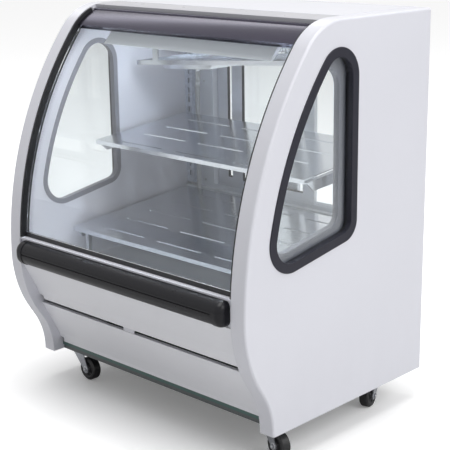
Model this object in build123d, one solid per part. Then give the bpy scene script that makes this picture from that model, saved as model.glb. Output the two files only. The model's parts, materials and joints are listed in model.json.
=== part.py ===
from build123d import *
import math
import os

# Refrigerated display case with a curved lift-up front glass, on casters.
# Millimetres. While modelling, X is left to right from the middle, Y is 0 at
# the rear face with the front towards -Y, and Z is 0 at the foot of the end
# panels. Every piece is then moved so that the origin lies on the floor under
# the middle of the case.

# Overall sizes
body_width = 1000.0
body_depth = 785.0
body_height = 1095.0
caster_height = 100.0

# Side profile of the end panels
end_panel_thickness = 50.0
belly_height = 346.0
crown_angle = 39.3
crown_radius = 175.0
foot_angle = 32.7
foot_radius = 221.0
foot_straight = 32.0
foot_rise = 6.6
end_panel_edge_round = 7.0

# Windows in the end panels
window_front_inset = 75.0
window_crown_gap = 75.0
window_sill_height = 458.0
window_sill_reach = 245.0
window_sill_slope = 9.5
window_top_corner = 82.0
window_rear_corner = 58.0
window_front_corner = 86.0
gasket_proud = 3.0
gasket_face = 27.0
gasket_seat = 12.0
gasket_web = 4.0
gasket_round_share = 0.6
pane_thickness = 5.0
outer_pane_depth = 12.0
inner_frame_inset = 6.0
inner_frame_rear_shift = 25.0
inner_frame_sill_shift = 24.0
inner_frame_width = 16.0
inner_frame_depth = 17.0
inner_frame_proud = 1.5
inner_frame_plate = 3.0

# Front glass and its hinge profile
glass_recess = 22.0
glass_thickness = 6.0
glass_foot_seat = 4.0
glass_grip = 10.0
seal_width = 6.0
seal_face_inset = 2.0
seal_depth = 33.0
seal_tip_depth = 20.0
seal_foot_gap = 0.1
glass_edge_gap = 1.0
hinge_turn = 74.0
hinge_inset = 14.0
hinge_rod_radius = 6.0
hinge_gap = 1.5
hinge_pin_length = 30.0
running_clearance = 0.05
hinge_band_inset = 12.0
hinge_band_wall = 4.0
hinge_band_start = 5.0
foot_trim_height = 13.0
foot_trim_thickness = 12.0
foot_trim_gap = 0.5

# Top
top_strip_reach = 53.0
top_panel_rise = 1.0
top_panel_round = 1.5
top_panel_fold = 26.0
sheet = 2.0
ceiling_drop = 22.0
hood_drop = 89.0
hood_inset = 60.0
hood_foot = 12.0
hood_end_gap = 110.0
light_width = 44.0
light_height = 20.0
light_round_share = 0.6

# Sill, bumper and front panels
sill_inset = 4.0
sill_top = 406.0
sill_face = 5.0
sill_return = 6.0
sill_sheet = 3.0
sill_depth = 38.0
bumper_projection = 31.0
bumper_height = 74.0
bumper_end_gap = 11.0
bumper_cap_length = 34.0
bumper_cap_step = 1.5
bumper_cap_round = 20.0
bumper_corner = 32.0
bumper_groove = 3.0
bumper_groove_share = 0.48
panel_top_recess = 6.0
panel_crease_recess = 37.0
panel_foot_recess = 36.5
panel_top_gap = 1.0
panel_crease = 228.0
panel_foot = 190.0
panel_return = 14.0
notch_width = 14.0
notch_height = 15.0
vent_gap = 13.0
tab_start = -62.0
tab_width = 47.0
lower_panel_recess = 31.0
lower_foot_recess = 17.0
lower_panel_foot = 61.0
lip_recede = 8.0
lip_top = 38.0
lip_foot = 28.0
lip_return = 10.0
strip_height = 10.0
strip_foot = 14.0
strip_sheet = 4.0

# Cold compartment
liner_wall = 20.0
liner_frame_gap = 1.0
well_floor = 292.0
well_slope = 46.0
shelf_side_gap = 20.0
deck_tilt = 5.0
deck_front_reach = 199.0
deck_front_height = 403.0
deck_rear_gap = 6.0
shelf_tilt = 5.5
shelf_front_reach = 306.0
shelf_height_share = 0.54
shelf_rear_gap = 10.0
shelf_sheet = 3.0
shelf_lip = 13.0
slot_side_margin = 90.0
slot_end_margin = 20.0
slot_gap = 55.0
slot_width = 8.0
slot_pitch = 99.0
slots_across = 3
deck_first_slot = 50.0
shelf_first_slot = 27.0
arm_thickness = 4.0
arm_front_height = 42.0
arm_rear_height = 52.0
arm_nose = 30.0
leg_size = 14.0
leg_inset = 20.0
upright_width = 34.0
upright_depth = 18.0
upright_wall = 2.5
upright_slot_pitch = 32.0
upright_slot_height = 18.0
upright_slot_width = 7.0

# Evaporator and drip tray
tray_front_reach = 465.0
tray_rear_gap = 17.0
tray_left_gap = 50.0
tray_right_gap = 70.0
tray_left_drop = 203.0
tray_tilt = 4.3
tray_wall = 14.0
sump_share = 0.32
sump_drop = 24.0
sump_depth_share = 0.55
spout_length = 12.0
hanger_share = 0.78
coil_front_share = 0.25
coil_rear_share = 0.125
coil_fin_pitch = 14.0
coil_tube_radius = 5.0
hose_radius = 8.0

# Rear doors
door_post_width = 114.0
door_overlap = 28.0
right_door_lead = 84.0
rear_sill_height = 448.0
rear_sill_depth = 30.0
door_head = 109.0
track_rib = 3.0
track_rib_height = 11.0
door_play = 1.0
door_thickness = 14.0
door_stile = 46.0
door_rail = 38.0
door_pane = 4.0
door_lift_gap = 2.0
door_pane_grip = 8.0
pull_height = 110.0
pull_width = 18.0
pull_depth = 7.0

# Chassis and machinery
base_height = 40.0
base_sheet = 3.0
panel_setback = 22.0
caster_side_gap = 38.0
caster_front_reach = 196.0
caster_rear = 120.0
wheel_top_gap = 6.5
wheel_width = 32.0
fork_thickness = 3.0
fork_gap = 2.0
fork_width = 50.0
fork_lean = 5.0
fork_tip = 13.0
caster_trail = 38.0
axle_radius = 5.0
nut_share = 1.6
plate_size = 72.0
plate_thickness = 4.0
stem_radius = 9.0
stem_length = 9.0
race_radius = 25.0
race_height = 8.0
swivel_gap = 0.5
front_left_heading = -92.0
front_right_heading = -102.0
rear_left_heading = -150.0
rear_right_heading = -165.0
foot_pad = 8.0
shroud_depth = 30.0
compressor_radius = 78.0
compressor_height = 150.0
condenser_width = 250.0
condenser_margin = 13.0
condenser_depth = 70.0
condenser_fin_pitch = 12.5
fan_radius = 82.0
fan_hub_radius = 22.0
fan_blades = 5
fan_front_gap = 22.0
louvre_count = 9
louvre_pitch = 16.0
louvre_height = 6.0
louvre_length = 150.0
compressor_x = -190.0
compressor_setback = 290.0
condenser_x = 150.0
condenser_setback = 50.0
control_x = -300.0
control_height = 220.0
control_size = 100.0
control_depth = 44.0
knob_radius = 16.0
knob_length = 13.0
shaft_radius = 3.0
rocker_height = 26.0
rocker_width = 15.0
rocker_depth = 9.0
rocker_tilt = 8.0
rocker_gap = 1.5
rocker_pin = 1.5
gland_x = 340.0
gland_height = 90.0
gland_radius = 9.0
gland_fit = 0.2

half_width = body_width / 2
inner_half = half_width - end_panel_thickness
overall_depth = body_depth + bumper_projection
track_depth = 3 * track_rib + 2 * door_thickness + 4 * door_play
well_rear = track_depth + liner_wall + liner_frame_gap

glass_half = inner_half - seal_width - glass_edge_gap
glass_foot_height = sill_top + glass_foot_seat
hinge_band_thickness = glass_recess + glass_thickness + hinge_band_wall - hinge_band_inset
bumper_top = sill_top - sill_face
panel_top = bumper_top - bumper_height - panel_top_gap
hose_room = well_rear + 2 * hose_radius
fan_setback = condenser_setback + condenser_depth + fan_front_gap
shelf_half = inner_half - shelf_side_gap
bumper_half = inner_half - bumper_end_gap
sill_front = body_depth - sill_inset
deck_front = body_depth - deck_front_reach
deck_rear = hose_room + deck_rear_gap
shelf_front = body_depth - shelf_front_reach
shelf_rear = hose_room + shelf_rear_gap
ceiling_height = body_height - top_panel_fold - ceiling_drop
hood_height = body_height - top_panel_fold - hood_drop
tray_front = body_depth - tray_front_reach
tray_rear = hose_room + tray_rear_gap
tray_left = inner_half - tray_left_gap
tray_right = inner_half - tray_right_gap
tray_left_height = body_height - tray_left_drop
shelf_front_height = deck_front_height + shelf_height_share * (tray_left_height - deck_front_height)
door_opening_half = inner_half - door_post_width
door_width = door_opening_half + door_overlap / 2
left_door_start = door_opening_half - door_play
right_door_start = left_door_start - right_door_lead
door_clear_top = body_height - door_head
fork_top = -plate_thickness - race_height - swivel_gap
wheel_radius = (caster_height + fork_top - 2 * fork_thickness - wheel_top_gap) / 2
axle_height = wheel_radius - caster_height
caster_x = inner_half - caster_side_gap
caster_front = body_depth - caster_front_reach
condenser_height = 2 * (fan_radius + condenser_margin)

slots_span = 2 * (shelf_half - slot_side_margin)
slot_length = (slots_span - (slots_across - 1) * slot_gap) / slots_across
sump_length = sump_share * (tray_left + tray_right)
face_tolerance = 0.01
angle_step = 1e-9


def rad(degrees):
    return degrees * math.pi / 180


def polar(centre, radius, angle):
    """Point on a circle, the angle rising from the front horizontal."""
    turn = rad(angle)
    return (centre[0] - radius * math.cos(turn), centre[1] + radius * math.sin(turn))


def lift_radius():
    """Radius of the large upper curve that reaches the crown at the set height."""
    rise = body_height - belly_height - crown_radius * (1 - math.sin(rad(crown_angle)))
    return rise / math.sin(rad(crown_angle))


def bulge_radius():
    """Radius of the lower curve between the belly and the straight."""
    rise = belly_height - foot_rise - foot_straight * math.cos(rad(foot_angle))
    rise -= foot_radius * math.sin(rad(foot_angle))
    return rise / math.sin(rad(foot_angle))


upper_radius = lift_radius()
lower_radius = bulge_radius()
upper_centre = (upper_radius - body_depth, belly_height)
lower_centre = (lower_radius - body_depth, belly_height)
crown_centre = polar(upper_centre, upper_radius - crown_radius, crown_angle)
hinge_point = polar(crown_centre, crown_radius - hinge_inset, hinge_turn)
top_panel_front = -crown_centre[0] - top_strip_reach
window_rear = crown_centre[0] + window_crown_gap
window_sill_middle = window_sill_reach - body_depth


def upper_point(height, inset):
    """Point of the upper curve at a height, moved in from the panel's edge."""
    radius = upper_radius - inset
    angle = math.asin((height - belly_height) / radius)
    return polar(upper_centre, radius, math.degrees(angle))


def lower_setback(height):
    """How far in front of the rear face the lower curve lies at a height."""
    straight_top = belly_height - lower_radius * math.sin(rad(foot_angle))
    if height >= straight_top:
        drop = belly_height - height
        return lower_radius * (1 - math.cos(math.asin(drop / lower_radius))) - body_depth
    top_y = polar(lower_centre, lower_radius, -foot_angle)[0]
    return top_y + (straight_top - height) * math.tan(rad(foot_angle))


def arc_through(centre, radius, start, end):
    """Arc between two angles measured from the front horizontal."""
    middle = (start + end) / 2
    return ThreePointArc(
        polar(centre, radius, start),
        polar(centre, radius, middle),
        polar(centre, radius, end),
    )


def section(edges):
    """Closed face in the side plane from edges that meet end to end."""
    return make_face([Plane.YZ * edge for edge in edges])


def across(face, x_from, x_to):
    """Side-plane face carried from one X to another."""
    return Pos(x_from, 0, 0) * extrude(face, amount=x_to - x_from, dir=(1, 0, 0))


def box_between(x, y, z):
    """Block between two X, two Y and two Z values."""
    size = Box(x[1] - x[0], y[1] - y[0], z[1] - z[0])
    return Pos((x[0] + x[1]) / 2, (y[0] + y[1]) / 2, (z[0] + z[1]) / 2) * size


def loop(points):
    """Straight edges round a list of side-plane points."""
    return [Line(points[i], points[(i + 1) % len(points)]) for i in range(len(points))]


def band(centre, outer, inner, start, end):
    """Closed side-plane edges of a curved strip between two radii."""
    return [
        arc_through(centre, outer, start, end),
        Line(polar(centre, outer, end), polar(centre, inner, end)),
        arc_through(centre, inner, end, start),
        Line(polar(centre, inner, start), polar(centre, outer, start)),
    ]


def sheet_points(points, thickness):
    """Outline of a folded sheet whose given line is its outer face."""
    normals = []
    for i in range(len(points) - 1):
        dy = points[i + 1][0] - points[i][0]
        dz = points[i + 1][1] - points[i][1]
        length = math.hypot(dy, dz)
        normals.append((-dz / length, dy / length))
    inner = []
    for i in range(len(points)):
        a = normals[max(i - 1, 0)]
        b = normals[min(i, len(normals) - 1)]
        scale = thickness / (1 + a[0] * b[0] + a[1] * b[1])
        inner.append((points[i][0] + (a[0] + b[0]) * scale, points[i][1] + (a[1] + b[1]) * scale))
    return points + inner[::-1]


def folded(points, thickness, half):
    """Folded sheet across the case."""
    return across(section(loop(sheet_points(points, thickness))), -half, half)


def mirrored(shape):
    return mirror(shape, about=Plane.YZ)


# End panels and their windows


def end_profile():
    foot_top = polar(lower_centre, lower_radius, -foot_angle)
    slope = rad(foot_angle)
    knee = (
        foot_top[0] + foot_straight * math.sin(slope),
        foot_top[1] - foot_straight * math.cos(slope),
    )
    foot_y = knee[0] + foot_radius * (1 - math.cos(slope))
    foot_centre = (foot_y - foot_radius, foot_rise)
    half_turn = slope / 2
    foot_middle = (
        foot_centre[0] + foot_radius * math.cos(half_turn),
        foot_centre[1] + foot_radius * math.sin(half_turn),
    )
    crown_end = (crown_centre[0], body_height)
    return [
        Line((0, 0), (foot_y, 0)),
        Line((foot_y, 0), (foot_y, foot_rise)),
        ThreePointArc((foot_y, foot_rise), foot_middle, knee),
        Line(knee, foot_top),
        arc_through(lower_centre, lower_radius, -foot_angle, 0),
        arc_through(upper_centre, upper_radius, 0, crown_angle),
        arc_through(crown_centre, crown_radius, crown_angle, 90),
        Line(crown_end, (0, body_height)),
        Line((0, body_height), (0, 0)),
    ]


def window_edges(inset, rear_shift, sill_shift):
    """Three edges of the window before its corners are rounded, and the three corners."""
    radius = upper_radius - window_front_inset - inset
    rear = window_rear - rear_shift - inset
    slope = rad(window_sill_slope)
    sill = window_sill_height + sill_shift + inset / math.cos(slope)
    top_angle = math.degrees(math.acos((upper_centre[0] - rear) / radius))
    low, high = 0.0, top_angle
    while high - low > angle_step:
        middle = (low + high) / 2
        point = polar(upper_centre, radius, middle)
        if point[1] > sill + (point[0] - window_sill_middle) * math.tan(slope):
            high = middle
        else:
            low = middle
    top = polar(upper_centre, radius, top_angle)
    front = polar(upper_centre, radius, low)
    back = (rear, sill + (rear - window_sill_middle) * math.tan(slope))
    edges = [arc_through(upper_centre, radius, low, top_angle), Line(top, back), Line(back, front)]
    return edges, (top, back, front)


def window_outline(inset, rear_shift=0.0, sill_shift=0.0):
    """Rounded window shape, moved in all round by the inset."""
    edges, spots = window_edges(inset, rear_shift, sill_shift)
    face = section(edges)
    for spot, size in zip(spots, (window_top_corner, window_rear_corner, window_front_corner)):
        place = Vector(0, spot[0], spot[1])
        corner = min(face.vertices(), key=lambda v: (Vector(v.X, v.Y, v.Z) - place).length)
        face = fillet(corner, size - inset)
    return face


def inner_outline(inset):
    """Outline of the inner window frame, smaller at the rear and the sill."""
    return window_outline(inner_frame_inset + inset, inner_frame_rear_shift, inner_frame_sill_shift)


def ring(outer, inner, x_from, x_to):
    """What lies between two window outlines, from one X to another."""
    return across(outer, x_from, x_to) - across(inner, x_from - 1, x_to + 1)


def window_ring(outer_inset, inner_inset, x_from, x_to):
    return ring(window_outline(outer_inset), window_outline(inner_inset), x_from, x_to)


def end_panel():
    panel = across(section(end_profile()), inner_half, half_width)
    rim = panel.edges().filter_by(lambda e: abs(e.center().X - half_width) < face_tolerance)
    rim = rim.filter_by(lambda e: e.center().Z > foot_rise and e.center().Y < -0.5)
    panel = fillet(rim, end_panel_edge_round)
    step = inner_half + inner_frame_depth - inner_frame_plate
    opening = across(window_outline(gasket_seat), step, half_width + 1)
    opening += across(inner_outline(0), inner_half - 1, step)
    pin_end = glass_half - hinge_pin_length
    pin = Cylinder(hinge_rod_radius / 2, inner_half - pin_end)
    pin = Pos((inner_half + pin_end) / 2, hinge_point[0], hinge_point[1]) * Rot(0, 90, 0) * pin
    return panel - opening + pin


def window_gasket():
    """Rubber profile: a wide outer flange, a web in the opening and a lip before the pane."""
    face = half_width + gasket_proud
    flange = window_ring(0, gasket_face, half_width, face)
    rim = flange.edges().filter_by(lambda e: abs(e.center().X - face) < face_tolerance)
    flange = fillet(rim, gasket_proud * gasket_round_share)
    web_end = inner_half + inner_frame_depth + pane_thickness
    web = window_ring(gasket_seat, gasket_seat + gasket_web, web_end, half_width)
    lip = window_ring(
        gasket_seat + gasket_web,
        gasket_face,
        half_width - outer_pane_depth,
        half_width,
    )
    return flange + web + lip


def window_outer_glass():
    front = half_width - outer_pane_depth
    return across(window_outline(gasket_seat + gasket_web), front - pane_thickness, front)


def window_reveal():
    """Grey inner frame: a tube in the inner skin and a plate behind the inner pane."""
    rear = inner_half - inner_frame_proud
    front = inner_half + inner_frame_depth
    step = front - inner_frame_plate
    hole = inner_outline(inner_frame_width)
    return ring(inner_outline(0), hole, rear, step) + ring(window_outline(gasket_seat), hole, step, front)


def window_inner_glass():
    rear = inner_half + inner_frame_depth
    return across(window_outline(gasket_seat), rear, rear + pane_thickness)


# Front glass


def glass_angles():
    radius = upper_radius - glass_recess
    foot = math.degrees(math.asin((glass_foot_height - belly_height) / radius))
    return foot, crown_angle


def front_glass():
    """Curved pane from the foot trim up into the hinge profile."""
    outer = upper_radius - glass_recess
    foot, top = glass_angles()
    edges = band(upper_centre, outer, outer - glass_thickness, foot, top)
    shell = across(section(edges), -glass_half, glass_half)
    crown_outer = crown_radius - glass_recess
    grip = hinge_band_start + math.degrees(glass_grip / crown_outer)
    curl = band(crown_centre, crown_outer, crown_outer - glass_thickness, top, top + grip)
    return shell + across(section(curl), -glass_half, glass_half)


def glass_hinge_profile():
    """Dark extrusion along the top of the glass, ending in the hinge barrel."""
    outer = crown_radius - hinge_band_inset
    start = crown_angle + hinge_band_start
    edges = band(crown_centre, outer, outer - hinge_band_thickness, start, hinge_turn)
    body = across(section(edges), -glass_half, glass_half)
    axis = Pos(0, hinge_point[0], hinge_point[1]) * Rot(0, 90, 0)
    barrel = axis * Cylinder(hinge_rod_radius, 2 * glass_half)
    slot_outer = crown_radius - glass_recess
    grip = math.degrees(glass_grip / slot_outer)
    slot = band(crown_centre, slot_outer, slot_outer - glass_thickness, start - 1, start + grip)
    bore = axis * Cylinder(hinge_rod_radius / 2 + running_clearance, 2 * glass_half + 2)
    return body + barrel - across(section(slot), -glass_half - 1, glass_half + 1) - bore


def glass_foot_trim():
    """Black channel along the lower edge of the glass."""
    centre = upper_radius - glass_recess - glass_thickness / 2
    outer = centre + foot_trim_thickness / 2
    inner = centre - foot_trim_thickness / 2
    low = math.degrees(math.asin((sill_top + foot_trim_gap - belly_height) / centre))
    high = low + math.degrees(foot_trim_height / centre)
    body = across(section(band(upper_centre, outer, inner, low, high)), -glass_half, glass_half)
    slot_outer = upper_radius - glass_recess
    foot, top = glass_angles()
    slot = band(upper_centre, slot_outer, slot_outer - glass_thickness, foot, high + 1)
    return body - across(section(slot), -glass_half - 1, glass_half + 1)


def glass_side_seal():
    """Black strip on the inner face of the end panel beside the glass, narrower towards the hinge."""
    outer = upper_radius - seal_face_inset
    crown_outer = crown_radius - seal_face_inset
    low = math.degrees(math.asin((sill_top - belly_height) / outer)) + seal_foot_gap
    stop = hinge_turn - math.degrees(2 * hinge_rod_radius / crown_radius)
    middle = (crown_angle + stop) / 2
    tip = polar(crown_centre, crown_outer - seal_tip_depth, stop)
    waist = polar(crown_centre, crown_outer - (seal_depth + seal_tip_depth) / 2, middle)
    shoulder = polar(upper_centre, outer - seal_depth, crown_angle)
    edges = [
        arc_through(upper_centre, outer, low, crown_angle),
        arc_through(crown_centre, crown_outer, crown_angle, stop),
        Line(polar(crown_centre, crown_outer, stop), tip),
        ThreePointArc(tip, waist, shoulder),
        arc_through(upper_centre, outer - seal_depth, crown_angle, low),
        Line(polar(upper_centre, outer - seal_depth, low), polar(upper_centre, outer, low)),
    ]
    return across(section(edges), inner_half - seal_width, inner_half)


# Top


def top_front_strip():
    """Grey strip between the hinge line and the white top."""
    start_y = hinge_point[0] + hinge_rod_radius + hinge_gap
    start = math.degrees(math.acos((crown_centre[0] - start_y) / crown_radius))
    low = body_height - top_panel_fold
    edges = [
        arc_through(crown_centre, crown_radius, start, 90),
        Line((crown_centre[0], body_height), (-top_panel_front, body_height)),
        Line((-top_panel_front, body_height), (-top_panel_front, low)),
        Line((-top_panel_front, low), (start_y, low)),
        Line((start_y, low), polar(crown_centre, crown_radius, start)),
    ]
    return across(section(edges), -inner_half, inner_half)


def top_panel():
    """White top with foam below its sheet."""
    low = body_height - top_panel_fold
    high = body_height + top_panel_rise
    skin = box_between((-inner_half, inner_half), (-top_panel_front, 0), (low, high))
    edges = skin.edges().filter_by(Axis.X).sort_by(Axis.Z)[-2:]
    return fillet(edges, top_panel_round)


def hood_line(height):
    """Y of the hood's sloped front face at a height."""
    top = body_height - top_panel_fold
    front = upper_point(hood_height, hood_inset)[0]
    rear = hinge_point[0] + hinge_band_thickness + 2 * sheet
    return front + (rear - front) * (height - hood_height) / (top - hood_height)


def ceiling_panel():
    """Inner ceiling with the sloped hood behind the glass."""
    top = body_height - top_panel_fold
    plate = [
        (-track_depth, top),
        (-track_depth, ceiling_height),
        (hood_line(ceiling_height), ceiling_height),
        (hood_line(top), top),
    ]
    lip = hood_line(hood_height)
    hood = [
        (lip, hood_height),
        (lip + hood_foot, hood_height),
        (lip + hood_foot + ceiling_height - hood_height, ceiling_height),
        (lip + hood_foot + ceiling_height - hood_height, ceiling_height + sheet),
        (hood_line(ceiling_height + sheet), ceiling_height + sheet),
    ]
    hood_half = inner_half - hood_end_gap
    ceiling = across(section(loop(plate)), -inner_half, inner_half)
    return ceiling + across(section(loop(hood)), -hood_half, hood_half)


def ceiling_light():
    """Lamp housing with a rounded diffuser under the ceiling behind the hood."""
    front = hood_line(hood_height) + hood_foot + ceiling_height - hood_height + sheet
    tube = box_between(
        (-slots_span / 2, slots_span / 2),
        (front, front + light_width),
        (ceiling_height - light_height, ceiling_height),
    )
    low = tube.edges().filter_by(Axis.X).sort_by(Axis.Z)[:2]
    return fillet(low, light_height * light_round_share)


# Sill, bumper and front panels


def front_sill():
    """White ledge under the glass, folded over its nose and down behind the bumper."""
    web = -sill_front + sill_return
    rear = -sill_front + sill_depth
    points = [
        (rear, sill_top),
        (-sill_front, sill_top),
        (-sill_front, sill_top - sill_face),
        (web, sill_top - sill_face),
        (web, panel_top),
        (web + sill_sheet, panel_top),
        (web + sill_sheet, sill_top - sill_sheet),
        (rear, sill_top - sill_sheet),
    ]
    return across(section(loop(points)), -inner_half, inner_half)


def bumper_section(step):
    """Rounded bumper section, made smaller on its three free sides by a step."""
    rear = -sill_front + sill_return
    front = -overall_depth + step
    low = bumper_top - bumper_height + step
    high = bumper_top - step
    face = section(loop([(rear, low), (front, low), (front, high), (rear, high)]))
    nose = face.vertices().sort_by(Axis.Y)[:2]
    return fillet(nose, bumper_corner - step)


def bumper_bar():
    """Straight length of the bumper with a shadow groove."""
    half = bumper_half - bumper_cap_length
    bar = across(bumper_section(bumper_cap_step), -half, half)
    groove_z = bumper_top - bumper_height * bumper_groove_share
    groove = box_between(
        (-half - 1, half + 1),
        (-overall_depth - 1, -overall_depth + bumper_cap_step + bumper_groove),
        (groove_z - bumper_groove / 2, groove_z + bumper_groove / 2),
    )
    return bar - groove


def bumper_cap():
    """Moulded end cap that stands proud of the bar and is rounded at its outer end."""
    cap = across(bumper_section(0), bumper_half - bumper_cap_length, bumper_half)
    rear = -sill_front + sill_return
    end = cap.edges().filter_by(lambda e: abs(e.center().X - bumper_half) < face_tolerance)
    end = end.filter_by(lambda e: e.center().Y < rear - face_tolerance)
    return fillet(end, bumper_cap_round)


def upper_front_panel():
    """Folded sheet from below the bumper down to the vent gap, notched at both lower corners."""
    top_y = lower_setback(panel_top) + panel_top_recess
    foot_y = lower_setback(panel_foot) + panel_foot_recess
    points = [
        (top_y + panel_return, panel_top),
        (top_y, panel_top),
        (lower_setback(panel_crease) + panel_crease_recess, panel_crease),
        (foot_y, panel_foot),
        (foot_y + panel_return, panel_foot),
    ]
    return notched(folded(points, sheet, inner_half), panel_foot)


def notched(panel, low):
    """Panel with a notch cut from its lower edge at both ends."""
    for x in ((-inner_half - 1, notch_width - inner_half), (inner_half - notch_width, inner_half + 1)):
        panel -= box_between(x, (-body_depth, 0), (low - 1, low + notch_height))
    return panel


def lower_front_panel():
    """Folded sheet below the vent gap, with its receding lip and a tab up to the panel above."""
    top = panel_foot - vent_gap
    face_top = lower_setback(top) + lower_panel_recess
    points = [
        (face_top + panel_return, top),
        (face_top, top),
        (lip_front() - lip_recede, lower_panel_foot),
        (lip_front(), lip_top),
        (lip_front(), lip_foot),
        (base_front(), lip_foot),
    ]
    tab = box_between(
        (tab_start, tab_start + tab_width),
        (face_top + sheet, face_top + 2 * sheet),
        (top - sheet, panel_foot),
    )
    return notched(folded(points, sheet, inner_half), lip_foot) + tab


def lip_front():
    """Y of the lip at the foot of the lower panel."""
    return lower_setback(lower_panel_foot) + lower_foot_recess + lip_recede


def base_front_strip():
    """Edge strip of the chassis below the lower panel."""
    y = base_front()
    z = (strip_foot, strip_foot + strip_height)
    return box_between((-inner_half, inner_half), (y - strip_sheet, y), z)


# Cold compartment


def liner_tub():
    """Insulated well below the deck, open towards the front glass and the top."""
    front_y = -sill_front + sill_depth
    points = [
        (front_y, sill_top - sill_sheet),
        (front_y + well_slope, well_floor),
        (-well_rear, well_floor),
        (-well_rear, rear_sill_height - sheet),
    ]
    return folded(points, -liner_wall, inner_half)


def slotted_pan(depth, half, first):
    """Flat pan with a folded front lip and rows of slots, its top front edge at the origin."""
    plate = box_between((-half, half), (0, depth), (-shelf_sheet, 0))
    lip = box_between((-half, half), (0, shelf_sheet), (-shelf_lip, 0))
    rear_lip = box_between((-half, half), (depth - shelf_sheet, depth), (-shelf_lip, 0))
    hem = box_between((-half, half), (0, 2 * shelf_lip / 3), (-shelf_lip, shelf_sheet - shelf_lip))
    pan = plate + lip + rear_lip + hem
    cutter = extrude(SlotOverall(slot_length, slot_width), shelf_sheet * 2, both=True)
    pitch = slot_length + slot_gap
    slots = []
    rows = int((depth - first - slot_end_margin) / slot_pitch) + 1
    for row in range(rows):
        for column in range(slots_across):
            x = (column - (slots_across - 1) / 2) * pitch
            slots.append(Pos(x, first + row * slot_pitch, 0) * cutter)
    return pan - slots


def tilted(shape, front, height, angle):
    return Pos(0, -front, height) * Rot(angle, 0, 0) * shape


def deck_length():
    return (deck_front - deck_rear) / math.cos(rad(deck_tilt))


def shelf_length():
    return (shelf_front - shelf_rear) / math.cos(rad(shelf_tilt))


def deck():
    """Slotted deck with its end gussets and front legs."""
    pan = slotted_pan(deck_length(), shelf_half, deck_first_slot)
    length = deck_length()
    skirt = section(loop([(0, 0), (arm_nose, -arm_front_height), (length, -arm_front_height), (length, 0)]))
    for x in (-shelf_half, shelf_half - shelf_sheet):
        pan += across(skirt, x, x + shelf_sheet)
    pan = tilted(pan, deck_front, deck_front_height, deck_tilt)
    legs = []
    for y in (-deck_front + arm_nose + leg_size, -deck_rear - leg_size):
        top = deck_front_height + (y + deck_front) * math.tan(rad(deck_tilt)) - shelf_sheet / 2
        for side in (-1, 1):
            x = side * (shelf_half - leg_inset)
            leg = Pos(x, y, (well_floor + top) / 2) * Box(leg_size, leg_size, top - well_floor)
            legs.append(leg)
    return pan + legs


def mid_shelf():
    pan = slotted_pan(shelf_length(), shelf_half, shelf_first_slot)
    return tilted(pan, shelf_front, shelf_front_height, shelf_tilt)


def shelf_bracket():
    """Cantilever arm under the shelf's right end, seated against the upright."""
    slope = math.tan(rad(shelf_tilt))
    rear = -track_depth - upright_depth
    front = -shelf_front + shelf_lip

    def below(y, drop):
        return shelf_front_height + (y + shelf_front) * slope - drop / math.cos(rad(shelf_tilt))

    points = [
        (front, below(front, shelf_lip)),
        (front + arm_nose, below(front + arm_nose, arm_front_height)),
        (rear, below(rear, arm_rear_height)),
        (rear, below(rear, shelf_lip)),
    ]
    arm = across(section(loop(points)), shelf_half - arm_thickness, shelf_half)
    top = [
        (front, below(front, shelf_lip)),
        (front, below(front, shelf_lip + shelf_sheet)),
        (-shelf_rear, below(-shelf_rear, shelf_lip + shelf_sheet)),
        (-shelf_rear, below(-shelf_rear, shelf_lip)),
    ]
    flange = across(section(loop(top)), shelf_half - 4 * arm_thickness, shelf_half)
    return arm + flange


def shelf_upright():
    """Slotted upright at the rear corner on the right, a channel open to the rear."""
    low = rear_sill_height + 4 * sheet
    high = ceiling_height
    x = (inner_half - upright_width, inner_half)
    y = (-track_depth - upright_depth, -track_depth)
    post = box_between(x, y, (low, high))
    post -= box_between(
        (x[0] + upright_wall, x[1] - upright_wall),
        (y[0] + upright_wall, y[1] + 1),
        (low - 1, high + 1),
    )
    slots = []
    middle = (x[0] + x[1]) / 2
    count = int((high - low - upright_slot_pitch) / upright_slot_pitch)
    for i in range(count):
        z = low + upright_slot_pitch * (i + 1)
        slots.append(
            box_between(
                (middle - upright_slot_width / 2, middle + upright_slot_width / 2),
                (y[0] - 1, y[0] + upright_wall + 1),
                (z - upright_slot_height / 2, z + upright_slot_height / 2),
            )
        )
    return post - slots


# Evaporator


def tray_height(x):
    return tray_left_height + (x + tray_left) * math.tan(rad(tray_tilt))


def drip_tray():
    """Sloped tray under the evaporator with a sump at its low end."""
    length = (tray_left + tray_right) / math.cos(rad(tray_tilt))
    depth = tray_front - tray_rear
    shell = box_between((0, length), (-tray_front, -tray_rear), (0, tray_wall))
    inner_y = (-tray_front + sheet, -tray_rear - sheet)
    shell -= box_between((sheet, length - sheet), inner_y, (sheet, tray_wall + 1))
    sump_depth = depth * sump_depth_share
    sump_points = [(0, 0), (sump_length, 0), (sump_length - sump_drop, -sump_drop), (sump_drop, -sump_drop)]
    sump = make_face(Plane.XZ * Polyline(*sump_points, close=True))
    sump = Pos(0, -tray_rear, 0) * extrude(sump, amount=sump_depth, dir=(0, -1, 0))
    shell += sump
    tray = Pos(-tray_left, 0, tray_left_height) * Rot(0, -tray_tilt, 0) * shell
    x, y, z = spout_place()
    tray += Pos(x, y, z + spout_length) * Cylinder(hose_radius, 2 * spout_length)
    for x in (-tray_left * hanger_share, tray_right * hanger_share):
        for y in (-tray_front, -tray_rear - sheet):
            z = (tray_height(x) + sheet, ceiling_height)
            tray += box_between((x - shelf_lip, x + shelf_lip), (y, y + sheet), z)
    return tray


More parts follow.
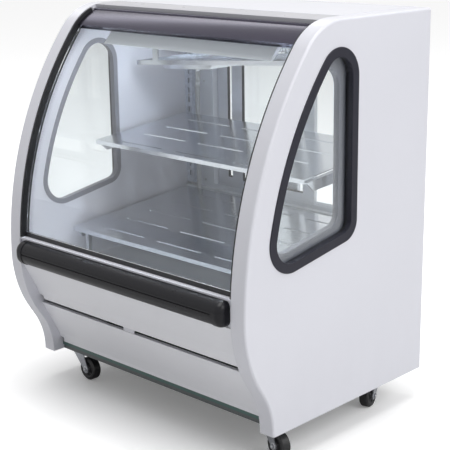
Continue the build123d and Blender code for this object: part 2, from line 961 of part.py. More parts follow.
def evaporator_coil():
    """Finned coil over the tray, with return bends at both ends."""
    low = tray_height(tray_right) + tray_wall + sheet
    high = ceiling_height
    depth = tray_front - tray_rear
    front = -tray_front + depth * coil_front_share
    rear = -tray_rear - depth * coil_rear_share
    half = min(tray_left, tray_right) - 3 * tray_wall
    core = box_between((-half, half), (front + 4, rear - 4), (low + 4, high))
    fins = []
    count = int(2 * half / coil_fin_pitch)
    for i in range(count + 1):
        x = -half + i * coil_fin_pitch
        fins.append(box_between((x, x + sheet), (front, rear), (low, high)))
    coil = core + fins
    pitch = (rear - front) / 4
    bend_radius = pitch / 2
    middle = (low + high) / 2
    for side in (-1, 1):
        for y in (front + pitch, front + 3 * pitch):
            bend = Pos(side * half, y, middle) * Torus(bend_radius, coil_tube_radius)
            coil += bend
    return coil


def spout_place():
    """Where the sump empties, and the height of the spout's lower face."""
    x = -tray_left + sump_length * 0.45
    y = -tray_rear - sump_depth_share * (tray_front - tray_rear) / 2
    return x, y, tray_height(x) - sump_drop - spout_length


def drain_hose():
    """Drain from the sump to the rear corner and down behind the deck."""
    start_x, start_y, start_z = spout_place()
    corner_x = -inner_half + upright_width + 5 * hose_radius
    corner_y = -well_rear - hose_radius - 3
    points = [
        (start_x, start_y, start_z),
        (start_x, start_y, start_z - 4 * hose_radius),
        (corner_x, corner_y, start_z - 7 * hose_radius),
        (corner_x, corner_y, well_floor),
    ]
    path = FilletPolyline(*points, radius=2.5 * hose_radius)
    start = Plane(origin=points[0], z_dir=(0, 0, -1))
    return sweep(start * Circle(hose_radius), path=path)


# Rear frame and sliding doors


def rear_frame():
    """Door frame with upper and lower tracks for two sliding doors."""
    low = rear_sill_height - rear_sill_depth
    high = body_height - top_panel_fold
    frame = box_between((-inner_half, inner_half), (-track_depth, 0), (low, high))
    opening = box_between(
        (-door_opening_half, door_opening_half),
        (-track_depth - 1, 1),
        (rear_sill_height, door_clear_top),
    )
    frame -= opening
    step = track_rib + door_thickness + 2 * door_play
    for i in range(3):
        y = -track_depth + i * step
        for z in (rear_sill_height, door_clear_top - track_rib_height):
            x = (-door_opening_half, door_opening_half)
            frame += box_between(x, (y, y + track_rib), (z, z + track_rib_height))
    return frame


def door_span(lane):
    """Front and rear Y of a door in its lane, lane 0 being the inner one."""
    step = track_rib + door_thickness + 2 * door_play
    front = -track_depth + track_rib + door_play + lane * step
    return front, front + door_thickness


def door_frame(start, lane, pull_side):
    """Door stiles and rails with a recessed finger pull facing the rear."""
    front, rear = door_span(lane)
    low = rear_sill_height + door_lift_gap
    high = door_clear_top - door_lift_gap
    x = (-start, -start + door_width)
    frame = box_between(x, (front, rear), (low, high))
    inner = box_between(
        (x[0] + door_stile, x[1] - door_stile),
        (front - 1, rear + 1),
        (low + door_rail, high - door_rail),
    )
    middle = (front + rear) / 2
    groove = box_between(
        (x[0] + door_stile - door_pane_grip, x[1] - door_stile + door_pane_grip),
        (middle - door_pane / 2, middle + door_pane / 2),
        (low + door_rail - door_pane_grip, high - door_rail + door_pane_grip),
    )
    pull_x = x[0] + door_stile / 2 if pull_side < 0 else x[1] - door_stile / 2
    pull_z = (low + high) / 2
    pull = box_between(
        (pull_x - pull_width / 2, pull_x + pull_width / 2),
        (rear - pull_depth, rear + 1),
        (pull_z - pull_height / 2, pull_z + pull_height / 2),
    )
    pull = fillet(pull.edges().filter_by(Axis.Y), pull_width * 0.45)
    return frame - inner - groove - pull


def door_glass(start, lane):
    front, rear = door_span(lane)
    low = rear_sill_height + door_lift_gap
    high = door_clear_top - door_lift_gap
    x = (-start, -start + door_width)
    middle = (front + rear) / 2
    return box_between(
        (x[0] + door_stile - door_pane_grip, x[1] - door_stile + door_pane_grip),
        (middle - door_pane / 2, middle + door_pane / 2),
        (low + door_rail - door_pane_grip, high - door_rail + door_pane_grip),
    )


# Rear base panel and controls


def panel_rear():
    return -panel_setback


def rear_lower_panel():
    """Service panel below the doors with two columns of air slots."""
    rear = panel_rear()
    top = rear_sill_height - rear_sill_depth
    x = (-inner_half, inner_half)
    panel = box_between(x, (rear - sheet, rear), (base_height, top))
    fold = box_between(x, (rear - panel_return, rear), (top - sheet, top))
    foot = box_between(x, (rear - panel_return, rear), (base_height, base_height + sheet))
    panel += [fold, foot]
    cutter = extrude(SlotOverall(louvre_length, louvre_height), 2 * panel_return, both=True)
    slots = []
    for side in (-1, 1):
        for i in range(louvre_count):
            z = base_height + 3 * louvre_pitch + i * louvre_pitch
            x = condenser_x + side * (louvre_length + louvre_pitch) / 2
            slots.append(Pos(x, rear, z) * Rot(90, 0, 0) * cutter)
    panel -= slots
    hole = Pos(control_x, rear, control_height) * Rot(90, 0, 0) * Cylinder(shaft_radius + 1, 4 * sheet)
    gland = Pos(gland_x, rear, gland_height) * Rot(90, 0, 0) * Cylinder(gland_radius, 4 * sheet)
    x, z = switch_place()
    wide = rocker_width / 2 + rocker_gap + sheet
    high = rocker_height / 2 + rocker_gap + sheet
    bezel = box_between((x - wide, x + wide), (rear - 2 * sheet, rear + sheet), (z - high, z + high))
    return panel - hole - gland - bezel


def switch_place():
    return control_x + control_size / 2, control_height


def control_box():
    """Box behind the panel with the thermostat bearing and the switch housing."""
    front = panel_rear() - sheet
    x = (control_x - control_size / 3, control_x + control_size * 2 / 3)
    z = (control_height - control_size / 2, control_height + control_size / 2)
    box = box_between(x, (front - control_depth, front), z)
    bore = Pos(control_x, front, control_height) * Rot(90, 0, 0)
    bore = bore * Cylinder(shaft_radius + running_clearance, control_depth)
    sx, sz = switch_place()
    wide = rocker_width / 2 + rocker_gap
    high = rocker_height / 2 + rocker_gap
    rim = box_between(
        (sx - wide - sheet, sx + wide + sheet),
        (front - 1, panel_rear() + 1),
        (sz - high - sheet, sz + high + sheet),
    )
    well_y = (front - 2 * rocker_depth, panel_rear() + 2)
    well = box_between((sx - wide, sx + wide), well_y, (sz - high, sz + high))
    pivot = Pos(sx, rocker_pivot(), sz) * Rot(0, 90, 0)
    pivot = pivot * Cylinder(rocker_pin + running_clearance, 2 * wide + sheet)
    return box + rim - bore - well - pivot


def rocker_pivot():
    return panel_rear() - sheet - rocker_depth / 2


def power_switch():
    """Rocker with a shallow V face, resting on one side of its travel."""
    half = rocker_height / 2
    face = panel_rear() + sheet
    pivot = rocker_pivot()
    points = [
        (pivot - rocker_depth / 2, -half * 0.7),
        (face + 1, -half),
        (face - 1, 0),
        (face + 1, half),
        (pivot - rocker_depth / 2, half * 0.7),
    ]
    rocker = across(section(loop(points)), -rocker_width / 2, rocker_width / 2)
    pin = Pos(0, pivot, 0) * Rot(0, 90, 0) * Cylinder(rocker_pin, rocker_width + 2 * rocker_gap + sheet / 2)
    rocker = Pos(0, -pivot, 0) * (rocker + pin)
    x, z = switch_place()
    return Pos(x, pivot, z) * Rot(rocker_tilt, 0, 0) * rocker


def thermostat_knob():
    """Round knob with grip flutes and a pointer ridge, on its shaft."""
    start = panel_rear() + 1
    cap = Cylinder(knob_radius, knob_length)
    cap = chamfer(cap.edges().sort_by(Axis.Z)[-1], 2)
    flutes = []
    for i in range(12):
        flutes.append(Rot(0, 0, i * 30) * Pos(knob_radius + 1, 0, 0) * Cylinder(2, knob_length + 2))
    cap -= flutes
    ridge = Pos(0, knob_radius * 0.45, knob_length / 2) * Box(2.4, knob_radius * 0.8, 2)
    shaft_length = control_depth / 2
    shaft = Pos(0, 0, -knob_length / 2 - shaft_length / 2) * Cylinder(shaft_radius, shaft_length)
    knob = cap + ridge + shaft
    return Pos(control_x, start + knob_length / 2, control_height) * Rot(-90, 0, 0) * knob


def cord_gland():
    """Closed cord inlet: a hexagon and dome outside and a nut behind the panel."""
    hexagon = RegularPolygon(gland_radius + 3, 6)
    neck = Cylinder(gland_radius - gland_fit, sheet)
    outer = Pos(0, 0, sheet / 2) * extrude(hexagon, 2 * sheet)
    nut = Pos(0, 0, -2.5 * sheet) * extrude(hexagon, 2 * sheet)
    dome = Pos(0, 0, 4 * sheet) * Cylinder(gland_radius - 1, 3 * sheet)
    dome = fillet(dome.edges().sort_by(Axis.Z)[-1], sheet)
    hole = Pos(0, 0, 5 * sheet) * Cylinder(gland_radius * 0.4, 3 * sheet)
    gland = neck + outer + nut + dome - hole
    return Pos(gland_x, panel_rear() - sheet / 2, gland_height) * Rot(-90, 0, 0) * gland


# Chassis, casters and machinery


def base_front():
    return lip_front() + lip_return


def caster_places():
    return {
        "front_left": (-caster_x, -caster_front, front_left_heading),
        "front_right": (caster_x, -caster_front, front_right_heading),
        "rear_left": (-caster_x, -caster_rear, rear_left_heading),
        "rear_right": (caster_x, -caster_rear, rear_right_heading),
    }


def base_frame():
    """Chassis tray with stiffeners and the four caster plates."""
    y = (base_front(), panel_rear() - panel_return)
    tray = box_between((-inner_half, inner_half), y, (0, base_height))
    tray -= box_between(
        (-inner_half + base_sheet, inner_half - base_sheet),
        (y[0] + base_sheet, y[1] - base_sheet),
        (base_sheet, base_height + 1),
    )
    edge_z = (base_height - base_sheet, base_height)
    tray += box_between((-inner_half, inner_half), (y[1] - 1, panel_rear()), edge_z)
    machine_gap = (compressor_x + compressor_radius + condenser_x - condenser_width / 2) / 2
    for x in (compressor_x - 1.5 * compressor_radius, machine_gap, condenser_x + 0.7 * condenser_width):
        tray += box_between((x, x + base_sheet), (y[0] + 1, y[1] - 1), (1, base_height / 2))
    for name, (cx, cy, heading) in caster_places().items():
        plate = Pos(cx, cy, -plate_thickness / 2) * fillet(
            Box(plate_size, plate_size, plate_thickness).edges().filter_by(Axis.Z), plate_thickness * 2
        )
        race = Pos(cx, cy, -plate_thickness - race_height / 2) * Cylinder(race_radius, race_height)
        tray = tray + plate + race
    for name, (cx, cy, heading) in caster_places().items():
        low = -plate_thickness - race_height
        bore = Cylinder(stem_radius + running_clearance, stem_length + 1)
        tray -= Pos(cx, cy, low + stem_length / 2) * bore
    return tray


def caster_fork(place):
    """Swivel fork with its stem, tapering legs and axle bolt."""
    x, y, heading = place
    half_gap = wheel_width / 2 + fork_gap
    crown = Pos(0, 0, fork_top - fork_thickness / 2) * Cylinder(race_radius - fork_gap, fork_thickness)
    stem = Pos(0, 0, fork_top + stem_length / 2 - 1) * Cylinder(stem_radius, stem_length - 1)
    start = fork_lean - fork_width / 2
    end = fork_lean + fork_width / 2
    bridge = box_between(
        (-half_gap - fork_thickness, half_gap + fork_thickness),
        (start, end),
        (fork_top - 2 * fork_thickness, fork_top - fork_thickness / 2),
    )
    leg = make_face(
        Polyline(
            (start, fork_top - fork_thickness),
            (end, fork_top - fork_thickness),
            (caster_trail + fork_tip, axle_height),
            (caster_trail - fork_tip, axle_height),
            close=True,
        )
    )
    leg = Plane.YZ * (leg + Pos(caster_trail, axle_height) * Circle(fork_tip))
    fork = crown + stem + bridge
    for side in (-half_gap - fork_thickness, half_gap):
        fork += across(leg, side, side + fork_thickness)
    spot = Pos(0, caster_trail, axle_height)
    fork += spot * Rot(0, 90, 0) * Cylinder(axle_radius, 2 * (half_gap + fork_thickness))
    nut = extrude(RegularPolygon(axle_radius * nut_share, 6), axle_radius)
    nut = Pos(0, 0, half_gap + fork_thickness) * nut
    for turn in (90, -90):
        fork += spot * Rot(0, turn, 0) * nut
    return Pos(x, y, 0) * Rot(0, 0, heading) * fork


def caster_wheel(place):
    """Rubber-tyred wheel with a recessed hub."""
    x, y, heading = place
    half = wheel_width / 2
    rim = wheel_radius
    bore = axle_radius + running_clearance
    outline = Polyline(
        (bore, -half),
        (axle_radius * 2, -half),
        (axle_radius * 2.4, -half + 4),
        (rim * 0.62, -half + 4),
        (rim * 0.72, -half + 1),
        (rim - 4, -half + 1),
        (rim, -half + 5),
        (rim, half - 5),
        (rim - 4, half - 1),
        (rim * 0.72, half - 1),
        (rim * 0.62, half - 4),
        (axle_radius * 2.4, half - 4),
        (axle_radius * 2, half),
        (bore, half),
        close=True,
    )
    wheel = revolve(Plane.XZ * make_face(outline), Axis.Z)
    return Pos(x, y, 0) * Rot(0, 0, heading) * Pos(0, caster_trail, axle_height) * Rot(0, 90, 0) * wheel


def compressor():
    """Hermetic compressor shell on a mounting plate with feet."""
    low = base_sheet
    plate = box_between(
        (-compressor_radius, compressor_radius),
        (-compressor_radius * 0.8, compressor_radius * 0.8),
        (low + foot_pad, low + foot_pad + base_sheet),
    )
    body = Cylinder(compressor_radius, compressor_height)
    body = Pos(0, 0, low + foot_pad + base_sheet + compressor_height / 2) * body
    body = fillet(body.edges().sort_by(Axis.Z)[-1], compressor_radius * 0.55)
    belt = Pos(0, 0, low + foot_pad + compressor_height * 0.55) * Cylinder(compressor_radius + 2, 8)
    unit = plate + body + belt
    for sx in (-1, 1):
        for sy in (-1, 1):
            pad = Pos(sx * compressor_radius * 0.85, sy * compressor_radius * 0.65, low + foot_pad / 2)
            unit += pad * Cylinder(8, foot_pad)
    return Pos(compressor_x, -compressor_setback, 0) * unit


def condenser_coil():
    """Finned condenser behind the air slots."""
    rear = -condenser_setback
    front = rear - condenser_depth
    half = condenser_width / 2
    low = base_sheet
    high = low + condenser_height
    x0 = condenser_x - half
    core = box_between((x0, x0 + condenser_width), (front + 3, rear - 3), (low, high))
    fins = []
    count = int(condenser_width / condenser_fin_pitch)
    for i in range(count + 1):
        x = x0 + i * condenser_fin_pitch
        fins.append(box_between((x, x + sheet), (front, rear), (low, high)))
    coil = core + fins
    pitch = condenser_height / 5
    for side, x in ((-1, x0), (1, x0 + condenser_width + sheet)):
        for i in (1, 3):
            z = low + pitch * (i + 0.5) + pitch / 4
            bend = Pos(x, (front + rear) / 2, z) * Rot(90, 0, 0) * Torus(pitch / 2, coil_tube_radius)
            coil += bend
    return coil


def fan_axis():
    return condenser_x, base_sheet + condenser_height / 2


def fan_shroud():
    """Ring shroud between the fan and the condenser, with motor struts."""
    x, z = fan_axis()
    rear = -condenser_setback - condenser_depth
    half_w = condenser_width / 2
    low = base_sheet
    plate = box_between((x - half_w, x + half_w), (rear - sheet, rear), (low, low + condenser_height))
    ring = Pos(x, rear - shroud_depth / 2, z) * Rot(90, 0, 0) * Cylinder(fan_radius + 6, shroud_depth)
    hole = Pos(x, rear - shroud_depth / 2, z) * Rot(90, 0, 0) * Cylinder(fan_radius + 3, shroud_depth * 3)
    return plate + ring - hole


def fan_motor():
    """Small fan motor on a bracket that stands on the chassis."""
    x, z = fan_axis()
    rear = -fan_setback - 16
    body = Pos(x, rear - 22, z) * Rot(90, 0, 0) * Cylinder(30, 44)
    body = fillet(body.edges().filter_by(GeomType.CIRCLE), 5)
    stand = box_between((x - 16, x + 16), (rear - 26, rear - 18), (base_sheet, z))
    foot = box_between((x - 30, x + 30), (rear - 40, rear - 4), (base_sheet, 2 * base_sheet))
    bore = Pos(x, rear - 8, z) * Rot(90, 0, 0) * Cylinder(shaft_radius + running_clearance, 20)
    return body + stand + foot - bore


def fan_blade():
    """Hub with pitched blades on the motor shaft."""
    x, z = fan_axis()
    hub = Cylinder(fan_hub_radius, 18)
    hub = fillet(hub.edges().sort_by(Axis.Z)[-1], 5)
    blades = hub
    blade_plan = Rectangle(fan_radius - fan_hub_radius + 4, 44)
    blade_plan = Pos((fan_hub_radius + fan_radius) / 2 - 3, 0) * blade_plan
    blade_plan = fillet(blade_plan.vertices().sort_by(Axis.X)[-2:], 14)
    blade = Pos(0, 0, -1) * extrude(blade_plan, 2)
    for i in range(fan_blades):
        blades += Rot(0, 0, i * 360 / fan_blades) * Rot(24, 0, 0) * blade
    shaft = Pos(0, 0, -9 - 11) * Cylinder(shaft_radius, 22)
    blades += shaft
    return Pos(x, -fan_setback, z) * Rot(-90, 0, 0) * blades


# Assembly


def place(shape):
    """Move from the modelling position to the floor under the middle of the case."""
    return Pos(0, overall_depth / 2, caster_height) * shape


def build():
    pieces = {}

    def pair(name, shape):
        pieces[name + "_right"] = shape
        pieces[name + "_left"] = mirrored(shape)

    pair("end_panel", end_panel())
    pair("window_gasket", window_gasket())
    pair("window_outer_glass", window_outer_glass())
    pair("window_reveal", window_reveal())
    pair("window_inner_glass", window_inner_glass())
    pair("glass_side_seal", glass_side_seal())
    pair("bumper_cap", bumper_cap())
    pair("shelf_bracket", shelf_bracket())
    pair("shelf_upright", shelf_upright())
    pieces["front_glass"] = front_glass()
    pieces["glass_hinge_profile"] = glass_hinge_profile()
    pieces["glass_foot_trim"] = glass_foot_trim()
    pieces["top_front_strip"] = top_front_strip()
    pieces["top_panel"] = top_panel()
    pieces["ceiling_panel"] = ceiling_panel()
    pieces["ceiling_light"] = ceiling_light()
    pieces["front_sill"] = front_sill()
    pieces["bumper_bar"] = bumper_bar()
    pieces["upper_front_panel"] = upper_front_panel()
    pieces["lower_front_panel"] = lower_front_panel()
    pieces["base_front_strip"] = base_front_strip()
    pieces["liner_tub"] = liner_tub()
    pieces["deck"] = deck()
    pieces["mid_shelf"] = mid_shelf()
    pieces["drip_tray"] = drip_tray()
    pieces["evaporator_coil"] = evaporator_coil()
    pieces["drain_hose"] = drain_hose()
    pieces["rear_frame"] = rear_frame()
    pieces["door_left_frame"] = door_frame(left_door_start, 1, -1)
    pieces["door_left_glass"] = door_glass(left_door_start, 1)
    pieces["door_right_frame"] = door_frame(right_door_start, 0, 1)
    pieces["door_right_glass"] = door_glass(right_door_start, 0)
    pieces["rear_lower_panel"] = rear_lower_panel()
    pieces["control_box"] = control_box()
    pieces["thermostat_knob"] = thermostat_knob()
    pieces["power_switch"] = power_switch()
    pieces["cord_gland"] = cord_gland()
    pieces["base_frame"] = base_frame()
    pieces["compressor"] = compressor()
    pieces["condenser_coil"] = condenser_coil()
    pieces["fan_shroud"] = fan_shroud()
    pieces["fan_motor"] = fan_motor()
    pieces["fan_blade"] = fan_blade()
    for corner, spot in caster_places().items():
        pieces["caster_fork_" + corner] = caster_fork(spot)
        pieces["caster_wheel_" + corner] = caster_wheel(spot)
    return pieces


def main():
    os.makedirs("parts", exist_ok=True)
    for name, shape in build().items():
        export_step(place(shape), os.path.join("parts", name + ".step"))


main()
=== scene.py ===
import json
import math
import bmesh
import bpy
from mathutils import Matrix, Vector

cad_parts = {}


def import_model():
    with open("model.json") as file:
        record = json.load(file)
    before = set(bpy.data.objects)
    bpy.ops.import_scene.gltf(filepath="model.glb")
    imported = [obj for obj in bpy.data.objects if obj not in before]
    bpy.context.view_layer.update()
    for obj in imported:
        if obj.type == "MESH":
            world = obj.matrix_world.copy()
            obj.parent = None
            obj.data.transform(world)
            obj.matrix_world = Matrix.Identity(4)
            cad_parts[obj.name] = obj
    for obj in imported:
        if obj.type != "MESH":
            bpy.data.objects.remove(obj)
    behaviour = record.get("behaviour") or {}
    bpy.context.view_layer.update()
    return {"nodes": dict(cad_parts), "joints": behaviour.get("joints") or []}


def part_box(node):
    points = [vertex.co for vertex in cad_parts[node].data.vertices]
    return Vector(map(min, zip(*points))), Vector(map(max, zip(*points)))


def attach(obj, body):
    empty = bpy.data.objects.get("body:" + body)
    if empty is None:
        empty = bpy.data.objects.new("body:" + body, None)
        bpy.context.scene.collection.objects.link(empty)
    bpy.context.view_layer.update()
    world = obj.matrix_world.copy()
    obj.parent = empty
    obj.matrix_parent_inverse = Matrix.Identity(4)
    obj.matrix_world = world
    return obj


# Refrigerated display case on casters, in the even light of a catalogue picture.
# The frame is in metres, with its origin on the floor under the middle of the
# case and the front towards -Y. Places on the case are given in its own
# millimetres: Y from the rear face and Z from the foot of the end panels.

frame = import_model()
nodes = frame["nodes"]
joint_places = {joint["name"]: joint.get("pos_m") for joint in frame["joints"]}

mm = 0.001
REAR_FACE = 408.0
PANEL_FOOT = 100.0

# Directions
FORWARD = (0, -1, 0)
REARWARD = (0, 1, 0)
DOWNWARD = (0, 0, -1)

# Camera, in metres, degrees and millimetres of lens
CAMERA_PLACE = (2.41112, -2.40722, 1.47827)
CAMERA_AZIMUTH = 44.228
CAMERA_ELEVATION = 15.275
CAMERA_ROLL = -0.805
CAMERA_LENS = 93.14
CAMERA_SENSOR = 36.0

# Places and sizes on the case, in its own millimetres
SERVICE_PANEL_FACE = -22
HINGE_AXIS = -449.4
WELL_FLOOR = 292
DOOR_STILE = 46
DOOR_RAIL = 38
UPRIGHT_SLOT_PITCH = 32
LOUVRE_ROWS = 9
LOUVRE_PITCH = 16
COMPRESSOR_X = -190
COMPRESSOR_Y = -290
CASTER_TRAIL = 38
AXLE_DROP = 62.5

# Each caster's heading in degrees
HEADINGS = {"front_left": -92.0, "front_right": -102.0, "rear_left": -150.0, "rear_right": -165.0}


# Shader helpers


class Nodes:
    """Short calls for the nodes of one tree."""

    def __init__(self, tree):
        self.tree = tree
        tree.nodes.clear()

    def put(self, socket, value):
        """Links another node's output to a socket, or sets a number, vector or colour on it."""
        if isinstance(value, bpy.types.NodeSocket):
            self.tree.links.new(value, socket)
        elif socket.type == "RGBA":
            socket.default_value = (*value, 1.0)
        else:
            socket.default_value = value

    def node(self, kind, inputs=None, **settings):
        """A node with its settings, and with the inputs that are named or numbered filled."""
        made = self.tree.nodes.new("ShaderNode" + kind)
        for key, value in settings.items():
            setattr(made, key, value)
        for key, value in (inputs or {}).items():
            self.put(made.inputs[key], value)
        return made

    def place(self, stretch=(1, 1, 1)):
        """Object coordinates in metres, times the stretch."""
        coords = self.node("TexCoord")
        mapping = self.node("Mapping", {"Scale": stretch, "Vector": coords.outputs["Object"]})
        return mapping.outputs["Vector"]

    def axis(self, name):
        """One of the object's coordinates, in metres."""
        return self.node("SeparateXYZ", {0: self.place()}).outputs[name]

    def noise(self, scale, detail, roughness=0.5, stretch=(1, 1, 1)):
        inputs = {
            "Vector": self.place(stretch),
            "Scale": scale,
            "Detail": detail,
            "Roughness": roughness,
        }
        return self.node("TexNoise", inputs).outputs["Fac"]

    def cells(self, scale):
        return self.node("TexVoronoi", {"Vector": self.place(), "Scale": scale}).outputs["Distance"]

    def remap(self, value, low, high, to_low=0.0, to_high=1.0, smooth=False):
        """A value's range from low to high, laid over another range and clamped to it."""
        inputs = {
            "Value": value,
            "From Min": low,
            "From Max": high,
            "To Min": to_low,
            "To Max": to_high,
        }
        curve = "SMOOTHSTEP" if smooth else "LINEAR"
        return self.node("MapRange", inputs, interpolation_type=curve).outputs["Result"]

    def math(self, operation, *values):
        return self.node("Math", dict(enumerate(values)), operation=operation).outputs[0]

    def vector(self, operation, *values, output="Vector"):
        made = self.node("VectorMath", dict(enumerate(values)), operation=operation)
        return made.outputs[output]

    def mix(self, factor, a, b):
        """Colour a where the factor is 0 and b where it is 1."""
        return self.node("Mix", {0: factor, 6: a, 7: b}, data_type="RGBA").outputs[2]


class Shader(Nodes):
    """A material with one Principled shader."""

    def __init__(self, name, colour, roughness, metallic=0.0):
        self.material = bpy.data.materials.new(name)
        self.material.use_nodes = True
        super().__init__(self.material.node_tree)
        self.roughness = roughness
        inputs = {"Base Color": colour, "Roughness": roughness, "Metallic": metallic}
        self.surface = self.node("BsdfPrincipled", inputs)
        self.output = self.node("OutputMaterial", {"Surface": self.surface.outputs[0]})

    def set(self, socket, value):
        self.put(self.surface.inputs[socket], value)

    def bump(self, height, distance, strength):
        """Relief from a height between 0 and 1, times a distance in metres."""
        inputs = {"Strength": strength, "Distance": distance, "Height": height}
        self.set("Normal", self.node("Bump", inputs).outputs["Normal"])

    def uneven(self, pattern, low, high, smoother, rougher):
        """Roughness that follows a pattern, from a little smoother to a little rougher."""
        least, most = self.roughness - smoother, self.roughness + rougher
        self.set("Roughness", self.remap(pattern, low, high, least, most))


def shade(colour, factor, lift=0.0):
    """A colour made lighter or darker, and lifted a little out of black."""
    return tuple(min(1.0, c * factor + lift) for c in colour)


# Finishes


def enamel(name, colour, roughness, foot_darkening=0.0, glow=0.0):
    """Baked enamel on sheet: faint clouding, orange peel, where asked a tone darker in streaks towards
    the foot, and where asked a painted glow, an emission though the sheet is no lamp.
    """
    look = Shader(name, colour, roughness)
    cloud = look.remap(look.noise(scale=2.2, detail=4.0), 0.3, 0.7)
    tone = look.mix(cloud, shade(colour, 0.985), shade(colour, 1.01))
    # Darker in streaks towards the foot, by as much as asked.
    if foot_darkening:
        full_tone_above, darkest_below = 0.45, 0.08
        low = look.remap(look.axis("Z"), full_tone_above, darkest_below, 0.0, foot_darkening, smooth=True)
        streaks = look.noise(scale=5.0, detail=5.0, roughness=0.6, stretch=(1, 1, 0.4))
        patch = look.remap(streaks, 0.3, 0.8)
        tone = look.mix(look.math("MULTIPLY", low, patch), tone, shade(colour, 0.86))
    look.set("Base Color", tone)
    look.uneven(look.noise(scale=26.0, detail=4.0), 0.3, 0.7, 0.03, 0.05)
    look.set("Coat Weight", 0.3)
    look.set("Coat Roughness", 0.12)
    # Painted glow: an emission that brightens the surface though it is no lamp.
    if glow:
        look.set("Emission Color", (0.80, 0.89, 1.0))
        look.set("Emission Strength", glow)
    look.bump(look.noise(scale=150.0, detail=1.0), 0.02 * mm, 0.5)
    return look.material


def rubber(name, colour, roughness, gloss=0.5):
    """Extruded rubber with a faint bloom and a fine skin."""
    look = Shader(name, colour, roughness)
    look.set("Specular IOR Level", gloss)
    bloom = look.remap(look.noise(scale=14.0, detail=5.0), 0.35, 0.75)
    look.set("Base Color", look.mix(bloom, colour, shade(colour, 1.15, 0.002)))
    look.uneven(look.noise(scale=60.0, detail=3.0), 0.3, 0.7, 0.04, 0.05)
    look.bump(look.noise(scale=500.0, detail=1.0), 0.01 * mm, 0.4)
    return look.material


def moulded(name, colour, roughness=0.42, gloss=0.5):
    """Moulded plastic with a fine grain and light scuffs."""
    look = Shader(name, colour, roughness)
    look.set("Specular IOR Level", gloss)
    scuffs = look.noise(scale=30.0, detail=6.0, roughness=0.65, stretch=(0.4, 1, 1))
    wear = look.remap(scuffs, 0.62, 0.8)
    look.set("Base Color", look.mix(wear, colour, shade(colour, 1.1, 0.001)))
    look.uneven(look.noise(scale=45.0, detail=4.0), 0.3, 0.7, 0.03, 0.04)
    look.bump(look.cells(600.0), 0.006 * mm, 0.35)
    return look.material


def brushed(name, colour, roughness, along, metallic=1.0):
    """Sheet metal brushed along one axis, with faint blotches."""
    look = Shader(name, colour, roughness, metallic)
    stretch = {"X": (0.01, 1, 1), "Y": (1, 0.01, 1), "Z": (1, 1, 0.01)}[along]
    lines = look.noise(scale=1600.0, detail=2.0, stretch=stretch)
    blotch = look.remap(look.noise(scale=7.0, detail=4.0), 0.3, 0.7)
    tone = look.mix(blotch, shade(colour, 0.97), shade(colour, 1.02))
    look.set("Base Color", look.mix(look.remap(lines, 0.3, 0.7), tone, shade(colour, 1.06)))
    look.uneven(lines, 0.25, 0.75, 0.03, 0.05)
    look.bump(lines, 0.01 * mm, 0.4)
    return look.material


def galvanised(name, colour, roughness=0.42):
    """Zinc plate with its soft spangle."""
    look = Shader(name, colour, roughness, metallic=1.0)
    flake = look.remap(look.cells(120.0), 0.0, 0.8)
    look.set("Base Color", look.mix(flake, shade(colour, 0.88), shade(colour, 1.12)))
    look.uneven(look.noise(scale=40.0, detail=3.0), 0.3, 0.7, 0.08, 0.12)
    look.bump(look.noise(scale=300.0, detail=2.0), 0.03 * mm, 0.6)
    return look.material


def clear_glass(name, tint, passing):
    """Polished pane that lets the lamps' light straight through."""
    look = Shader(name, tint, 0.0)
    look.set("Transmission Weight", 1.0)
    look.set("IOR", 1.45)
    rays = look.node("LightPath").outputs
    passes = look.math("MAXIMUM", rays["Is Shadow Ray"], rays["Is Diffuse Ray"])
    clear = look.node("BsdfTransparent", {"Color": passing})
    mixed = look.node("MixShader", {0: passes, 1: look.surface.outputs[0], 2: clear.outputs[0]})
    look.put(look.output.inputs["Surface"], mixed.outputs[0])
    return look.material


def milky(name, colour, glow):
    """Lit diffuser plastic."""
    look = Shader(name, colour, 0.35)
    look.set("Emission Color", (0.88, 0.94, 1.0))
    look.set("Emission Strength", glow)
    look.bump(look.noise(scale=500.0, detail=2.0), 0.03 * mm, 0.6)
    return look.material


# Materials of the CAD nodes


def dress(material, *names):
    for name in names:
        data = nodes[name].data
        data.materials.clear()
        data.materials.append(material)


def sides(stem):
    return (stem + "_left", stem + "_right")


def each_caster(stem):
    return [stem + "_" + corner for corner in HEADINGS]


white = enamel("white_panel", (0.735, 0.74, 0.80), 0.32, foot_darkening=0.5)
dress(white, *sides("end_panel"), "top_panel", "front_sill")
rear_white = enamel("rear_white", (0.72, 0.73, 0.78), 0.4, foot_darkening=0.6)
dress(rear_white, "rear_lower_panel")
grey_trim = enamel("grey_trim", (0.46, 0.46, 0.50), 0.3)
dress(grey_trim, "top_front_strip")
window_rubber = rubber("window_rubber", (0.016, 0.016, 0.027), 0.4, gloss=0.35)
dress(window_rubber, *sides("window_gasket"))
seal = rubber("seal_rubber", (0.010, 0.010, 0.012), 0.42)
dress(seal, *sides("glass_side_seal"), "glass_foot_trim")
dress(moulded("reveal_grey", (0.23, 0.235, 0.27), 0.45), *sides("window_reveal"))
glass = clear_glass("clear_glass", (0.955, 0.975, 0.982), (0.985, 0.992, 1.0))
dress(glass, *sides("window_outer_glass"), *sides("window_inner_glass"))
dress(glass, "front_glass", "door_left_glass", "door_right_glass")
dress(brushed("hinge_profile", (0.085, 0.08, 0.11), 0.2, "X", 0.95), "glass_hinge_profile")
bumper_black = moulded("bumper_black", (0.006, 0.006, 0.009), 0.3, gloss=0.34)
dress(bumper_black, "bumper_bar", *sides("bumper_cap"))
silver = enamel("silver_panel", (0.86, 0.865, 0.91), 0.4)
dress(silver, "upper_front_panel", "lower_front_panel")
dress(enamel("base_strip", (0.05, 0.12, 0.105), 0.3), "base_front_strip")
dress(enamel("liner", (0.84, 0.87, 0.90), 0.36), "liner_tub")
